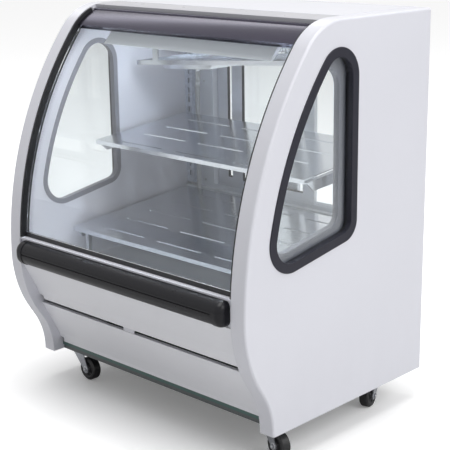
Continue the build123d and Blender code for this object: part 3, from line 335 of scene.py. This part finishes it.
# Painted glow: a faint bluish emission brightens the ceiling panel, which is no lamp.
dress(enamel("ceiling", (0.84, 0.87, 0.90), 0.36, glow=0.15), "ceiling_panel")
steel = brushed("stainless", (0.66, 0.68, 0.72), 0.2, "X")
dress(steel, "deck", "mid_shelf", *sides("shelf_bracket"), "drip_tray")
dress(galvanised("upright_zinc", (0.66, 0.71, 0.79)), *sides("shelf_upright"))
coil_metal = brushed("coil_metal", (0.45, 0.46, 0.48), 0.4, "Z")
dress(coil_metal, "evaporator_coil", "condenser_coil")
dress(milky("lamp", (0.85, 0.88, 0.9), 14.5), "ceiling_light")
dress(moulded("hose", (0.5, 0.52, 0.53), 0.35), "drain_hose")
dress(enamel("rear_grey", (0.76, 0.79, 0.84), 0.36), "rear_frame")
door_metal = brushed("door_frame", (0.72, 0.74, 0.79), 0.36, "Z", 0.6)
dress(door_metal, "door_left_frame", "door_right_frame")
control = moulded("control_grey", (0.05, 0.05, 0.055))
dress(control, "control_box", "cord_gland")
dress(moulded("knob_black", (0.02, 0.02, 0.022), 0.3), "thermostat_knob", "power_switch")
dress(enamel("chassis", (0.08, 0.09, 0.095), 0.45), "base_frame")
dress(enamel("compressor_black", (0.012, 0.012, 0.012), 0.3), "compressor", "fan_motor")
dress(enamel("shroud", (0.04, 0.04, 0.042), 0.45), "fan_shroud")
dress(brushed("fan", (0.5, 0.51, 0.53), 0.35, "X"), "fan_blade")
fork_zinc = galvanised("caster_zinc", (0.40, 0.41, 0.44), 0.34)
dress(fork_zinc, *each_caster("caster_fork"))
dress(rubber("caster_tyre", (0.010, 0.010, 0.011), 0.42), *each_caster("caster_wheel"))
bright_steel = brushed("bright_steel", (0.62, 0.63, 0.65), 0.28, "Y")
copper = brushed("copper", (0.55, 0.27, 0.16), 0.32, "X")


# Mesh helpers


def at(x, y, z):
    """Place in the scene from the case's own millimetres."""
    return Vector((x * mm, (y + REAR_FACE) * mm, (z + PANEL_FOOT) * mm))


def facing(direction, spot):
    """Matrix that points a form's own Z along a direction at a spot."""
    turn = Vector(direction).to_track_quat("Z", "Y").to_matrix().to_4x4()
    return Matrix.Translation(spot) @ turn


def millimetres(pairs):
    return [(a * mm, b * mm) for a, b in pairs]


def add_piece(name, data, material, body):
    """An object for a mesh or curve, which moves with its body."""
    data.materials.append(material)
    made = bpy.data.objects.new(name, data)
    bpy.context.scene.collection.objects.link(made)
    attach(made, body)


class Shape:
    """Points and faces gathered for one piece."""

    def __init__(self):
        self.points = []
        self.faces = []

    def add(self, form, matrix=None):
        start = len(self.points)
        points, faces = form
        matrix = matrix or Matrix()
        self.points += [matrix @ Vector(p) for p in points]
        self.faces += [tuple(start + i for i in face) for face in faces]
        return self

    def finish(self, name, material, body, slot):
        sharp_angle = 35.0
        mesh = bpy.data.meshes.new(name)
        mesh.from_pydata([tuple(p) for p in self.points], [], self.faces)
        mesh.validate()
        mesh.polygons.foreach_set("use_smooth", [True] * len(mesh.polygons))
        mesh.set_sharp_from_angle(angle=math.radians(sharp_angle))
        mesh.update()
        add_piece(name, mesh, material, body)


def turned(profile, steps=32):
    """Form of revolution about Z from (radius, height) points, closed where the radius is 0."""
    points = []
    rows = []
    for radius, height in profile:
        if radius == 0:
            rows.append([len(points)])
            points.append((0, 0, height))
            continue
        row = []
        for i in range(steps):
            angle = 2 * math.pi * i / steps
            row.append(len(points))
            points.append((radius * math.cos(angle), radius * math.sin(angle), height))
        rows.append(row)
    faces = []
    for low, high in zip(rows, rows[1:]):
        for i in range(steps):
            j = (i + 1) % steps
            if len(low) == 1:
                faces.append((low[0], high[j], high[i]))
            elif len(high) == 1:
                faces.append((low[i], low[j], high[0]))
            else:
                faces.append((low[i], low[j], high[j], high[i]))
    return points, faces


def screw(radius, height):
    """Pan head with a cross recess."""
    rings, steps = 9, 40
    recess_floor = height * 0.35
    arm_half_width, arm_reach = 0.13, 0.52
    points = [(0, 0, recess_floor)]
    for ring in range(1, rings + 1):
        share = ring / rings
        for i in range(steps):
            angle = 2 * math.pi * i / steps
            x, y = share * math.cos(angle), share * math.sin(angle)
            across, along = sorted((abs(x), abs(y)))
            recessed = across < arm_half_width and along < arm_reach
            dome = height * (1 - share ** 4) ** 0.5
            points.append((x * radius, y * radius, recess_floor if recessed else dome))
    faces = [(0, 1 + i, 1 + (i + 1) % steps) for i in range(steps)]
    for ring in range(rings - 1):
        a, b = 1 + ring * steps, 1 + (ring + 1) * steps
        for i in range(steps):
            j = (i + 1) % steps
            faces.append((a + i, b + i, b + j, a + j))
    return points, faces


def hexagon(radius, height):
    """Hexagon head with a chamfered top on a round washer."""
    washer_top = height * 0.25
    washer = [
        (radius * 1.5, 0),
        (radius * 1.5, washer_top * 0.8),
        (radius * 1.42, washer_top),
        (radius * 0.6, washer_top),
    ]
    head = [(radius, washer_top), (radius, height * 0.86), (radius * 0.86, height), (0, height)]
    form = Shape().add(turned(washer)).add(turned(head, steps=6))
    return form.points, form.faces


def slab(size, rounding, segments=3):
    """Block with rounded edges, centred on its own origin."""
    made = bmesh.new()
    bmesh.ops.create_cube(made, size=1.0)
    for vertex in made.verts:
        vertex.co = Vector(c * s for c, s in zip(vertex.co, size))
    edges = made.edges[:]
    bmesh.ops.bevel(
        made, geom=edges, offset=rounding, segments=segments, profile=0.5, affect="EDGES"
    )
    made.verts.index_update()
    points = [tuple(v.co) for v in made.verts]
    faces = [tuple(v.index for v in f.verts) for f in made.faces]
    made.free()
    return points, faces


def swept(path, axes, section, closed=True):
    """Section of (inward, sideways) points carried along a path, with both directions at each point."""
    points = []
    for spot, (inward, sideways) in zip(path, axes):
        for a, b in section:
            points.append(spot + inward * a + sideways * b)
    count, total = len(section), len(path)
    faces = []
    for i in range(total if closed else total - 1):
        j = (i + 1) % total
        for k in range(count):
            m = (k + 1) % count
            faces.append((i * count + k, j * count + k, j * count + m, i * count + m))
    if not closed:
        faces.append(tuple(range(count))[::-1])
        faces.append(tuple((total - 1) * count + k for k in range(count)))
    return points, faces


def pipe(name, route, radius, material):
    """Bent tube on the cabinet through points in the case's millimetres, smoothed by its spline."""
    data = bpy.data.curves.new(name, "CURVE")
    data.dimensions = "3D"
    data.bevel_depth = radius * mm
    data.bevel_resolution = 4
    data.resolution_u = 10
    data.use_fill_caps = True
    spline = data.splines.new("NURBS")
    spline.points.add(len(route) - 1)
    for point, spot in zip(spline.points, route):
        point.co = (*at(*spot), 1.0)
    spline.order_u = 3
    spline.use_endpoint_u = True
    add_piece(name, data, material, "cabinet")


def rim(node, side):
    """Outline of a pane's outer face in order, with its inward and sideways directions."""
    vertices = nodes[node].data.vertices
    face_x = max(side * v.co.x for v in vertices)
    spots = [Vector(v.co) for v in vertices if abs(side * v.co.x - face_x) < 0.01 * mm]
    middle = sum(spots, Vector()) / len(spots)
    unique = {(round(spot.y, 6), round(spot.z, 6)): spot for spot in spots}
    outline = sorted(unique.values(), key=lambda p: math.atan2(p.z - middle.z, p.y - middle.y))
    axes = []
    for i, spot in enumerate(outline):
        along = (outline[(i + 1) % len(outline)] - outline[i - 1]).normalized()
        inward = Vector((0, -along.z, along.y))
        if inward.dot(middle - spot) < 0:
            inward = -inward
        axes.append((inward, Vector((side, 0, 0))))
    return outline, axes


# Small pieces of the shell


def panel_screws():
    """Pan-head screws along the service panel's upper and lower edges."""
    spacing, lower_row, upper_row = 215, 52, 404
    form = Shape()
    for column in (-2, -1, 0, 1, 2):
        for z in (lower_row, upper_row):
            spot = at(column * spacing, SERVICE_PANEL_FACE, z)
            form.add(screw(radius=4.6 * mm, height=2.4 * mm), facing(REARWARD, spot))
    form.finish("rear_panel_screws", bright_steel, "cabinet", "rear_white")


def louvre_hood(centre):
    """Quarter-round hood of two skins that meet at the lip and run out at both ends."""
    half_length, proud, rise, foot, lip_drop = 73, 4.2, 3.6, 2.8, 1.2
    inner_skin = 0.78
    lengths, turns = 20, 6
    points, faces = [], []
    for skin in (1.0, inner_skin):
        for i in range(lengths + 1):
            share = 2 * i / lengths - 1
            size = math.sqrt(max(0.0, 1 - abs(share) ** 8)) * skin
            for k in range(turns + 1):
                turn = math.pi / 2 * k / turns
                x = share * half_length * mm
                y = proud * mm * size * math.sin(turn)
                z = (foot + rise * size * math.cos(turn)) * mm - lip_drop * mm * math.sin(turn)
                points.append(centre + Vector((x, y, z)))
    row = turns + 1
    block = (lengths + 1) * row
    for skin in range(2):
        for i in range(lengths):
            for k in range(turns):
                a = skin * block + i * row + k
                quad = (a, a + row, a + row + 1, a + 1)
                faces.append(quad if skin == 0 else quad[::-1])
    for i in range(lengths):
        a = i * row + turns
        faces.append((a, a + row, block + a + row, block + a))
    return points, faces


def louvre_hoods():
    """Pressed hoods over the air slots of the service panel, in two columns behind the condenser."""
    middle, column_offset, first_row = 150, 83, 88
    form = Shape()
    for column in (-1, 1):
        for row in range(LOUVRE_ROWS):
            x = middle + column * column_offset
            z = first_row + row * LOUVRE_PITCH
            form.add(louvre_hood(at(x, SERVICE_PANEL_FACE, z)))
    form.finish("rear_panel_louvres", rear_white, "cabinet", "rear_white")


def thermostat_dial():
    """Dial disc behind the knob, with its ring of raised ticks."""
    disc = millimetres([(4.5, 0), (26, 0), (27, 0.2), (26.6, 0.6), (4.5, 0.6)])
    count, first_angle, spacing = 11, -135, 27
    long_tick, short_tick, tick_width, tick_height = 5.0, 3.2, 1.1, 0.5
    ring_radius, tick_level = 18.6, 0.7
    spot = Vector(joint_places["thermostat_turn"])
    spot.y = at(0, SERVICE_PANEL_FACE, 0).y
    face = facing(REARWARD, spot)
    Shape().add(turned(disc, 64), face).finish("thermostat_dial", control, "cabinet", "control_grey")
    ticks = Shape()
    for i in range(count):
        length = long_tick if i % 5 == 0 else short_tick
        size = (tick_width * mm, length * mm, tick_height * mm)
        tick = slab(size, rounding=0.15 * mm, segments=2)
        turn = Matrix.Rotation(-math.radians(first_angle + spacing * i), 4, "Z")
        outwards = Matrix.Translation((0, (ring_radius + length / 2) * mm, tick_level * mm))
        ticks.add(tick, face @ (turn @ outwards))
    ticks.finish("thermostat_dial_ticks", white, "cabinet", "white_panel")


def window_spacer(side, name):
    """Black spacer between the two panes of a window."""
    insets_and_depths = [(0.2, -5.2), (7, -5.2), (7.6, -6.5), (7.6, -14), (7, -15.3), (0.2, -15.3)]
    outline, axes = rim("window_outer_glass_" + name, side)
    form = Shape().add(swept(outline, axes, millimetres(insets_and_depths)))
    form.finish("window_spacer_" + name, seal, "cabinet", "seal_rubber")


def front_gap_tab():
    """White cover on the tab between the two front panels."""
    tab_middle, gap_middle, tab_face, sunk = -38.5, 183.5, -711.5, 1.5
    spot = at(tab_middle, tab_face, gap_middle)
    spot.y += sunk * mm
    width, thickness, height = 46 * mm, 1.0 * mm, 12.6 * mm
    cover = slab((width, thickness, height), rounding=0.4 * mm, segments=2)
    form = Shape().add(cover, Matrix.Translation(spot))
    form.finish("front_gap_tab", white, "cabinet", "white_panel")


# Front glass


def foot_bead_painted_highlight():
    """Bright oval bead along the top of the trim under the glass, which also paints the highlight along
    the trim's top lip.
    """
    radius, flattening, steps = 1.9 * mm, 0.7, 10
    end_gap, behind_front, below_top = 1.0 * mm, 3.4 * mm, 0.2 * mm
    low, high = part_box("glass_foot_trim")
    half = high[0] - end_gap
    y, z = low[1] + behind_front, high[2] - below_top
    section = []
    for i in range(steps):
        angle = 2 * math.pi * i / steps
        section.append((radius * math.cos(angle), radius * math.sin(angle) * flattening))
    path = [Vector((x, y, z)) for x in (-half, 0, half)]
    axes = [(Vector((0, 1, 0)), Vector((0, 0, 1)))] * len(path)
    # Painted highlight: the bright metal bead stands for the light line along the trim's top lip.
    form = Shape().add(swept(path, axes, section, closed=False))
    form.finish("glass_foot_bead", bright_steel, "front_glass_lid", "seal_rubber")


def hinge_ends():
    """Light grey end blocks that carry the hinge pins."""
    middle, below_top, thickness, width = 446.6, 6, 5.6, 15
    block = slab((thickness * mm, width * mm, width * mm), rounding=2.4 * mm)
    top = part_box("glass_hinge_profile")[1][2]
    y = at(0, HINGE_AXIS, 0).y
    form = Shape()
    for side in (-1, 1):
        spot = (side * middle * mm, y, top - below_top * mm)
        form.add(block, Matrix.Translation(spot))
    form.finish("hinge_end_blocks", grey_trim, "cabinet", "grey_trim")


# Rear frame and doors


def frame_screws():
    """Screws that hold the rear frame's posts, seen from inside."""
    post_middle, inner_face = 376, -41
    heights = (470, 640, 810, 960)
    form = Shape()
    for side in (-1, 1):
        for z in heights:
            spot = at(side * post_middle, inner_face, z)
            form.add(screw(radius=4.0 * mm, height=2.0 * mm), facing(FORWARD, spot))
    form.finish("rear_frame_screws", bright_steel, "cabinet", "rear_grey")


def door_beads(name, body):
    """Mitred glazing beads on both faces of a door's pane."""
    section = millimetres([(0, 0), (4.0, 0), (3.9, 1.2), (3.2, 2.6), (1.8, 3.7), (0, 4.2)])
    frame_low, frame_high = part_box(name + "_frame")
    pane_low, pane_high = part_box(name + "_glass")
    x0, x1 = frame_low[0] + DOOR_STILE * mm, frame_high[0] - DOOR_STILE * mm
    z0, z1 = frame_low[2] + DOOR_RAIL * mm, frame_high[2] - DOOR_RAIL * mm
    corner_points = [(x0, z0), (x1, z0), (x1, z1), (x0, z1)]
    inwards = [(1, 1), (-1, 1), (-1, -1), (1, -1)]
    form = Shape()
    for face, outward in ((pane_low[1], FORWARD), (pane_high[1], REARWARD)):
        path = [Vector((x, face, z)) for x, z in corner_points]
        axes = [(Vector((dx, 0, dz)), Vector(outward)) for dx, dz in inwards]
        form.add(swept(path, axes, section))
    form.finish(name + "_bead", window_rubber, body, "window_rubber")


def door_pull_lip(name, body, side):
    """Raised lip round the finger pull in the middle of a door's stile."""
    section = millimetres([(-1.6, -0.1), (-1.3, 0.6), (-0.4, 0.95), (0.2, 0.6), (0.3, -0.1)])
    straight_half, radius, steps = 46 * mm, 9.4 * mm, 12
    low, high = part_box(name + "_frame")
    half_stile = DOOR_STILE / 2 * mm
    x = low[0] + half_stile if side < 0 else high[0] - half_stile
    middle = Vector((x, high[1], (low[2] + high[2]) / 2))
    path, axes = [], []
    for end in (1, -1):
        for i in range(steps + 1):
            angle = math.pi * i / steps
            out = Vector((math.cos(angle) * end, 0, math.sin(angle) * end))
            path.append(middle + Vector((0, 0, straight_half * end)) + out * radius)
            axes.append((-out, Vector(REARWARD)))
    form = Shape().add(swept(path, axes, section))
    form.finish(name + "_pull_lip", bright_steel, body, "door_frame")


# Inside


def upright_screws():
    """Screws between the slots of the shelf uprights."""
    pitch = UPRIGHT_SLOT_PITCH * mm
    height_shares = (0.06, 0.5, 0.94)
    form = Shape()
    for name in sides("shelf_upright"):
        low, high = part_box(name)
        for share in height_shares:
            slots_below = round((high[2] - low[2]) * share / pitch)
            z = low[2] + (slots_below + 0.5) * pitch
            spot = Vector(((low[0] + high[0]) / 2, low[1], z))
            form.add(screw(radius=3.8 * mm, height=1.9 * mm), facing(FORWARD, spot))
    form.finish("shelf_upright_screws", bright_steel, "cabinet", "upright_zinc")


def lamp_ends():
    """End caps of the lamp with their contact bosses."""
    boss = millimetres([(0, 6), (5, 6), (6, 5), (6.4, 0)])
    length, past_end, boss_level = 10 * mm, 4 * mm, 4.5 * mm
    wider, taller = 2 * mm, 1.2 * mm
    low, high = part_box("ceiling_light")
    cap = slab((length, high[1] - low[1] + wider, high[2] - low[2] + taller), rounding=3.5 * mm)
    y, z = (low[1] + high[1]) / 2, (low[2] + high[2]) / 2 - taller / 2
    form = Shape()
    for side, end in ((-1, low[0]), (1, high[0])):
        centre = Vector((end + side * past_end, y, z))
        form.add(cap, Matrix.Translation(centre))
        boss_foot = centre + Vector((side * boss_level, 0, 0))
        form.add(turned(boss, 24), facing((side, 0, 0), boss_foot))
    form.finish("lamp_end_caps", white, "cabinet", "white_panel")


def deck_feet():
    """Rubber pads round the deck's legs."""
    leg_x, front_leg, rear_leg = 410, -542, -98
    width, height = 18 * mm, 8 * mm
    pad = slab((width, width, height), rounding=1.8 * mm)
    form = Shape()
    for x in (-leg_x, leg_x):
        for y in (front_leg, rear_leg):
            spot = at(x, y, WELL_FLOOR)
            spot.z += height / 2
            form.add(pad, Matrix.Translation(spot))
    form.finish("deck_foot_pads", seal, "cabinet", "seal_rubber")


def drain_grommet():
    """Rubber collar where the drain passes into the well's floor."""
    collar = [(8, 6), (9.2, 6.4), (11, 4.4), (12, 2.2), (15, 1.8), (16, 0.9), (16, 0)]
    hose_radius = 8 * mm
    low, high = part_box("drain_hose")
    spot = Vector((low[0] + hose_radius, high[1] - hose_radius, at(0, 0, WELL_FLOOR).z))
    form = Shape().add(turned(millimetres(collar), 40), Matrix.Translation(spot))
    form.finish("drain_grommet", seal, "cabinet", "seal_rubber")


def tray_screws():
    """Screws that fix the drip tray's hangers."""
    hangers, half_spacing, height = (-312, 296.4), 7, 1036
    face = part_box("drip_tray")[0][1]
    form = Shape()
    for hanger in hangers:
        for side in (-1, 1):
            spot = at(hanger + side * half_spacing, 0, height)
            spot.y = face
            form.add(screw(radius=3.4 * mm, height=1.7 * mm), facing(FORWARD, spot))
    form.finish("tray_hanger_screws", bright_steel, "cabinet", "stainless")


# Casters


def swivel_place(corner):
    """Matrix to the point on a caster's swivel axis at the top of its plate."""
    x, y, _ = joint_places["caster_swivel_" + corner]
    return Matrix.Translation((x, y, PANEL_FOOT * mm))


def headed(corner):
    """A caster's own frame, turned to its heading."""
    return swivel_place(corner) @ Matrix.Rotation(math.radians(HEADINGS[corner]), 4, "Z")


def axle(corner):
    """Frame at the middle of a caster's axle, with X along the axle."""
    return headed(corner) @ Matrix.Translation((0, CASTER_TRAIL * mm, -AXLE_DROP * mm))


def caster_bolts(corner):
    """Four bolts under a caster's square plate."""
    half_spacing, plate_thickness = 27.5, 4
    bolt = hexagon(radius=4.6 * mm, height=4.4 * mm)
    form = Shape()
    for x in (-half_spacing, half_spacing):
        for y in (-half_spacing, half_spacing):
            spot = Vector((x * mm, y * mm, -plate_thickness * mm))
            form.add(bolt, swivel_place(corner) @ facing(DOWNWARD, spot))
    form.finish("caster_bolts_" + corner, bright_steel, "cabinet", "caster_zinc")


def caster_race_ring(corner):
    """Rolled edge round the swivel race."""
    edge = [(25.4, -12.0), (27.2, -11.7), (27.8, -10.2), (27.2, -8.6), (25.4, -8.2)]
    form = Shape().add(turned(millimetres(edge), 56), swivel_place(corner))
    form.finish("caster_race_ring_" + corner, fork_zinc, "cabinet", "caster_zinc")


def caster_washers(corner):
    """Washers and axle ends outside the fork, and the rivet head under its crown."""
    washer = millimetres([(4.9, 1.3), (9.0, 1.3), (9.8, 0.8), (9.8, 0)])
    axle_end = millimetres([(0, 1.9), (3.1, 1.7), (3.9, 0.9), (4.1, 0)])
    rivet = millimetres([(0, 2.6), (4.5, 2.4), (7.5, 1.3), (8.4, 0)])
    fork_face, axle_tip, rivet_level = 21, 26, -18.5
    form = Shape()
    for side in (-1, 1):
        outer = facing((side, 0, 0), Vector((side * fork_face * mm, 0, 0)))
        form.add(turned(washer, 36), axle(corner) @ outer)
        tip = facing((side, 0, 0), Vector((side * axle_tip * mm, 0, 0)))
        form.add(turned(axle_end, 28), axle(corner) @ tip)
    form.add(turned(rivet, 32), headed(corner) @ facing(DOWNWARD, (0, 0, rivet_level * mm)))
    form.finish("caster_washers_" + corner, bright_steel, "caster_" + corner, "caster_zinc")


def caster_hub(corner):
    """Ribs and raised collar on both faces of a wheel's hub."""
    collar = millimetres([(11.6, 3.0), (13.4, 3.0), (14.0, 2.4), (14.0, 0)])
    ribs, rib_radius, rib_face, collar_face = 6, 17.2, 13.4, 12
    rib_width, rib_length = 2.6 * mm, 10.6 * mm
    rib = slab((rib_width, rib_width, rib_length), rounding=0.7 * mm, segments=2)
    form = Shape()
    for side in (-1, 1):
        for i in range(ribs):
            turn = Matrix.Rotation(math.radians(360 / ribs * i), 4, "X")
            spot = Matrix.Translation((side * rib_face * mm, 0, rib_radius * mm))
            form.add(rib, axle(corner) @ turn @ spot)
        face = facing((side, 0, 0), Vector((side * collar_face * mm, 0, 0)))
        form.add(turned(collar, 36), axle(corner) @ face)
    form.finish("caster_hub_" + corner, control, "caster_roller_" + corner, "caster_tyre")


# Machinery


def compressor_cover():
    """Cover over the compressor's terminals."""
    width, depth, height = 46 * mm, 22 * mm, 44 * mm
    aside, sunk, lowered = 30 * mm, 4 * mm, 8 * mm
    low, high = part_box("compressor")
    middle = (low + high) / 2
    spot = (middle.x - aside, high[1] - sunk, middle.z - lowered)
    form = Shape().add(slab((width, depth, height), rounding=4 * mm), Matrix.Translation(spot))
    form.finish("compressor_terminal_cover", control, "cabinet", "control_grey")


def compressor_bolts():
    """Bolts at the four corners of the compressor's base."""
    half_spacing_x, half_spacing_y, foot_top = 66, 51, 14
    bolt = hexagon(radius=4.4 * mm, height=5 * mm)
    form = Shape()
    for x in (-half_spacing_x, half_spacing_x):
        for y in (-half_spacing_y, half_spacing_y):
            spot = at(COMPRESSOR_X + x, COMPRESSOR_Y + y, foot_top)
            form.add(bolt, Matrix.Translation(spot))
    form.finish("compressor_bolts", bright_steel, "cabinet", "caster_zinc")


def refrigerant_pipes():
    """Discharge pipe to the condenser and suction pipe towards the evaporator."""
    discharge_radius, suction_radius = 3.2, 4.6
    discharge = [
        (COMPRESSOR_X, COMPRESSOR_Y, 150),
        (COMPRESSOR_X, COMPRESSOR_Y, 196),
        (-150, -260, 204),
        (-60, -170, 206),
        (-6, -85, 190),
        (6, -85, 160),
        (30, -85, 160),
    ]
    suction = [
        (-215, -300, 150),
        (-215, -300, 210),
        (-300, -280, 230),
        (-380, -150, 236),
        (-392, -76, 262),
        (-392, -76, 300),
    ]
    pipe("discharge_pipe", discharge, discharge_radius, copper)
    pipe("suction_pipe", suction, suction_radius, copper)


def fan_motor_nuts():
    """Nuts at the corners of the fan motor's front."""
    half_spacing = 17 * mm
    nut = hexagon(radius=2.8 * mm, height=3 * mm)
    x, _, z = joint_places["condenser_fan_spin"]
    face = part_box("fan_motor")[0][1]
    form = Shape()
    for dx in (-half_spacing, half_spacing):
        for dz in (-half_spacing, half_spacing):
            spot = Vector((x + dx, face, z + dz))
            form.add(nut, facing(FORWARD, spot))
    form.finish("fan_motor_nuts", bright_steel, "cabinet", "caster_zinc")


panel_screws()
frame_screws()
upright_screws()
louvre_hoods()
thermostat_dial()
window_spacer(-1, "left")
window_spacer(1, "right")
foot_bead_painted_highlight()
hinge_ends()
front_gap_tab()
door_beads("door_left", "rear_door_left")
door_beads("door_right", "rear_door_right")
door_pull_lip("door_left", "rear_door_left", -1)
door_pull_lip("door_right", "rear_door_right", 1)
lamp_ends()
deck_feet()
drain_grommet()
tray_screws()
for corner in HEADINGS:
    caster_bolts(corner)
    caster_race_ring(corner)
    caster_washers(corner)
    caster_hub(corner)
compressor_cover()
compressor_bolts()
refrigerant_pipes()
fan_motor_nuts()


# Studio


def studio_floor():
    """Floor that takes the case's shadow, with a painted shadow round the case: for the camera it glows
    less near the case and whitens away from it.
    """
    near_half_width, near_half_depth, painted_shadow_fade = 0.45, 0.36, 0.45
    painted_shadow_glow, far_glow = 0.15, 0.42
    through_glass = 0.45
    bpy.ops.mesh.primitive_plane_add(size=40.0, location=(0, 0, 0))
    floor = bpy.context.object
    floor.name = "studio_floor"
    look = Shader("studio_floor", (0.9, 0.9, 0.9), 0.9)
    look.set("Specular IOR Level", 0.1)
    rays = look.node("LightPath").outputs
    seen = look.math("MAXIMUM", rays["Is Camera Ray"], rays["Is Transmission Ray"])
    look.set("Base Color", look.mix(seen, (0.72, 0.72, 0.72), (1.0, 1.0, 1.0)))
    look.set("Emission Color", (1.0, 1.0, 1.0))
    # Painted shadow: the floor's glow fades from its far level down to a dim level close round the
    # case's footprint, darkening the floor there.
    apart = look.vector("ABSOLUTE", look.node("NewGeometry").outputs["Position"])
    beyond = look.vector("SUBTRACT", apart, (near_half_width, near_half_depth, 0.0))
    outside = look.vector("MAXIMUM", beyond, (0.0, 0.0, 0.0))
    distance = look.vector("LENGTH", outside, output="Value")
    glow = look.remap(distance, 0.0, painted_shadow_fade, painted_shadow_glow, far_glow, smooth=True)
    direct_share = 1.0 - through_glass
    direct = look.math("MULTIPLY_ADD", rays["Is Camera Ray"], direct_share, through_glass)
    look.set("Emission Strength", look.math("MULTIPLY", look.math("MULTIPLY", seen, direct), glow))
    floor.data.materials.append(look.material)


def world():
    """White all round for the camera, and a soft light that is dimmer from the front left."""
    front_left = (-0.45, -0.87, -0.2)
    away_from_it, towards_it = -0.5, 0.8
    brighter, dimmer = 0.60, 0.24
    steady = (("Is Glossy Ray", 0.8), ("Is Transmission Ray", 0.86), ("Is Camera Ray", 1.0))
    made = bpy.data.worlds.new("studio")
    bpy.context.scene.world = made
    made.use_nodes = True
    sky = Nodes(made.node_tree)
    rays = sky.node("LightPath").outputs
    direction = sky.node("TexCoord").outputs["Generated"]
    toward = sky.vector("DOT_PRODUCT", direction, front_left, output="Value")
    strength = sky.remap(toward, away_from_it, towards_it, brighter, dimmer, smooth=True)
    for ray, brightness in steady:
        strength = sky.remap(rays[ray], 0.0, 1.0, strength, brightness)
    back = sky.node("Background", {"Color": (1.0, 1.0, 1.0), "Strength": strength})
    sky.node("OutputWorld", {"Surface": back.outputs[0]})


def soft_light(name, place, target, size, energy):
    """Rectangular lamp of a size in metres and an energy in watts, turned to its target."""
    data = bpy.data.lights.new(name, "AREA")
    data.shape = "RECTANGLE"
    data.size, data.size_y = size
    data.energy = energy
    light = bpy.data.objects.new(name, data)
    bpy.context.scene.collection.objects.link(light)
    light.location = place
    direction = Vector(target) - Vector(place)
    light.rotation_euler = direction.to_track_quat("-Z", "Y").to_euler()


def camera():
    """Camera at its measured place, azimuth, elevation and roll."""
    data = bpy.data.cameras.new("camera")
    data.lens = CAMERA_LENS
    data.sensor_width = CAMERA_SENSOR
    made = bpy.data.objects.new("camera", data)
    bpy.context.scene.collection.objects.link(made)
    azimuth = math.radians(CAMERA_AZIMUTH)
    elevation = math.radians(CAMERA_ELEVATION)
    roll = math.radians(CAMERA_ROLL)
    back = Vector((
        math.sin(azimuth) * math.cos(elevation),
        -math.cos(azimuth) * math.cos(elevation),
        math.sin(elevation),
    ))
    right = Vector((math.cos(azimuth), math.sin(azimuth), 0.0))
    up = back.cross(right)
    turned_right = math.cos(roll) * right + math.sin(roll) * up
    turned_up = -math.sin(roll) * right + math.cos(roll) * up
    turn = Matrix((turned_right, turned_up, back)).transposed().to_4x4()
    made.matrix_world = Matrix.Translation(CAMERA_PLACE) @ turn
    bpy.context.scene.camera = made


studio_floor()
world()
soft_light("key", place=(3.6, 0.4, 3.0), target=(0, 0, 0.6), size=(2.6, 2.6), energy=64.0)
soft_light("top", place=(0.2, -0.9, 7.0), target=(0, 0, 0.6), size=(4.6, 4.6), energy=250.0)
soft_light("strip", place=(-4.6, 2.5, 5.0), target=(0, -0.05, 1.1), size=(5.0, 0.9), energy=30.0)
camera()
bpy.context.scene.view_settings.view_transform = "Standard"
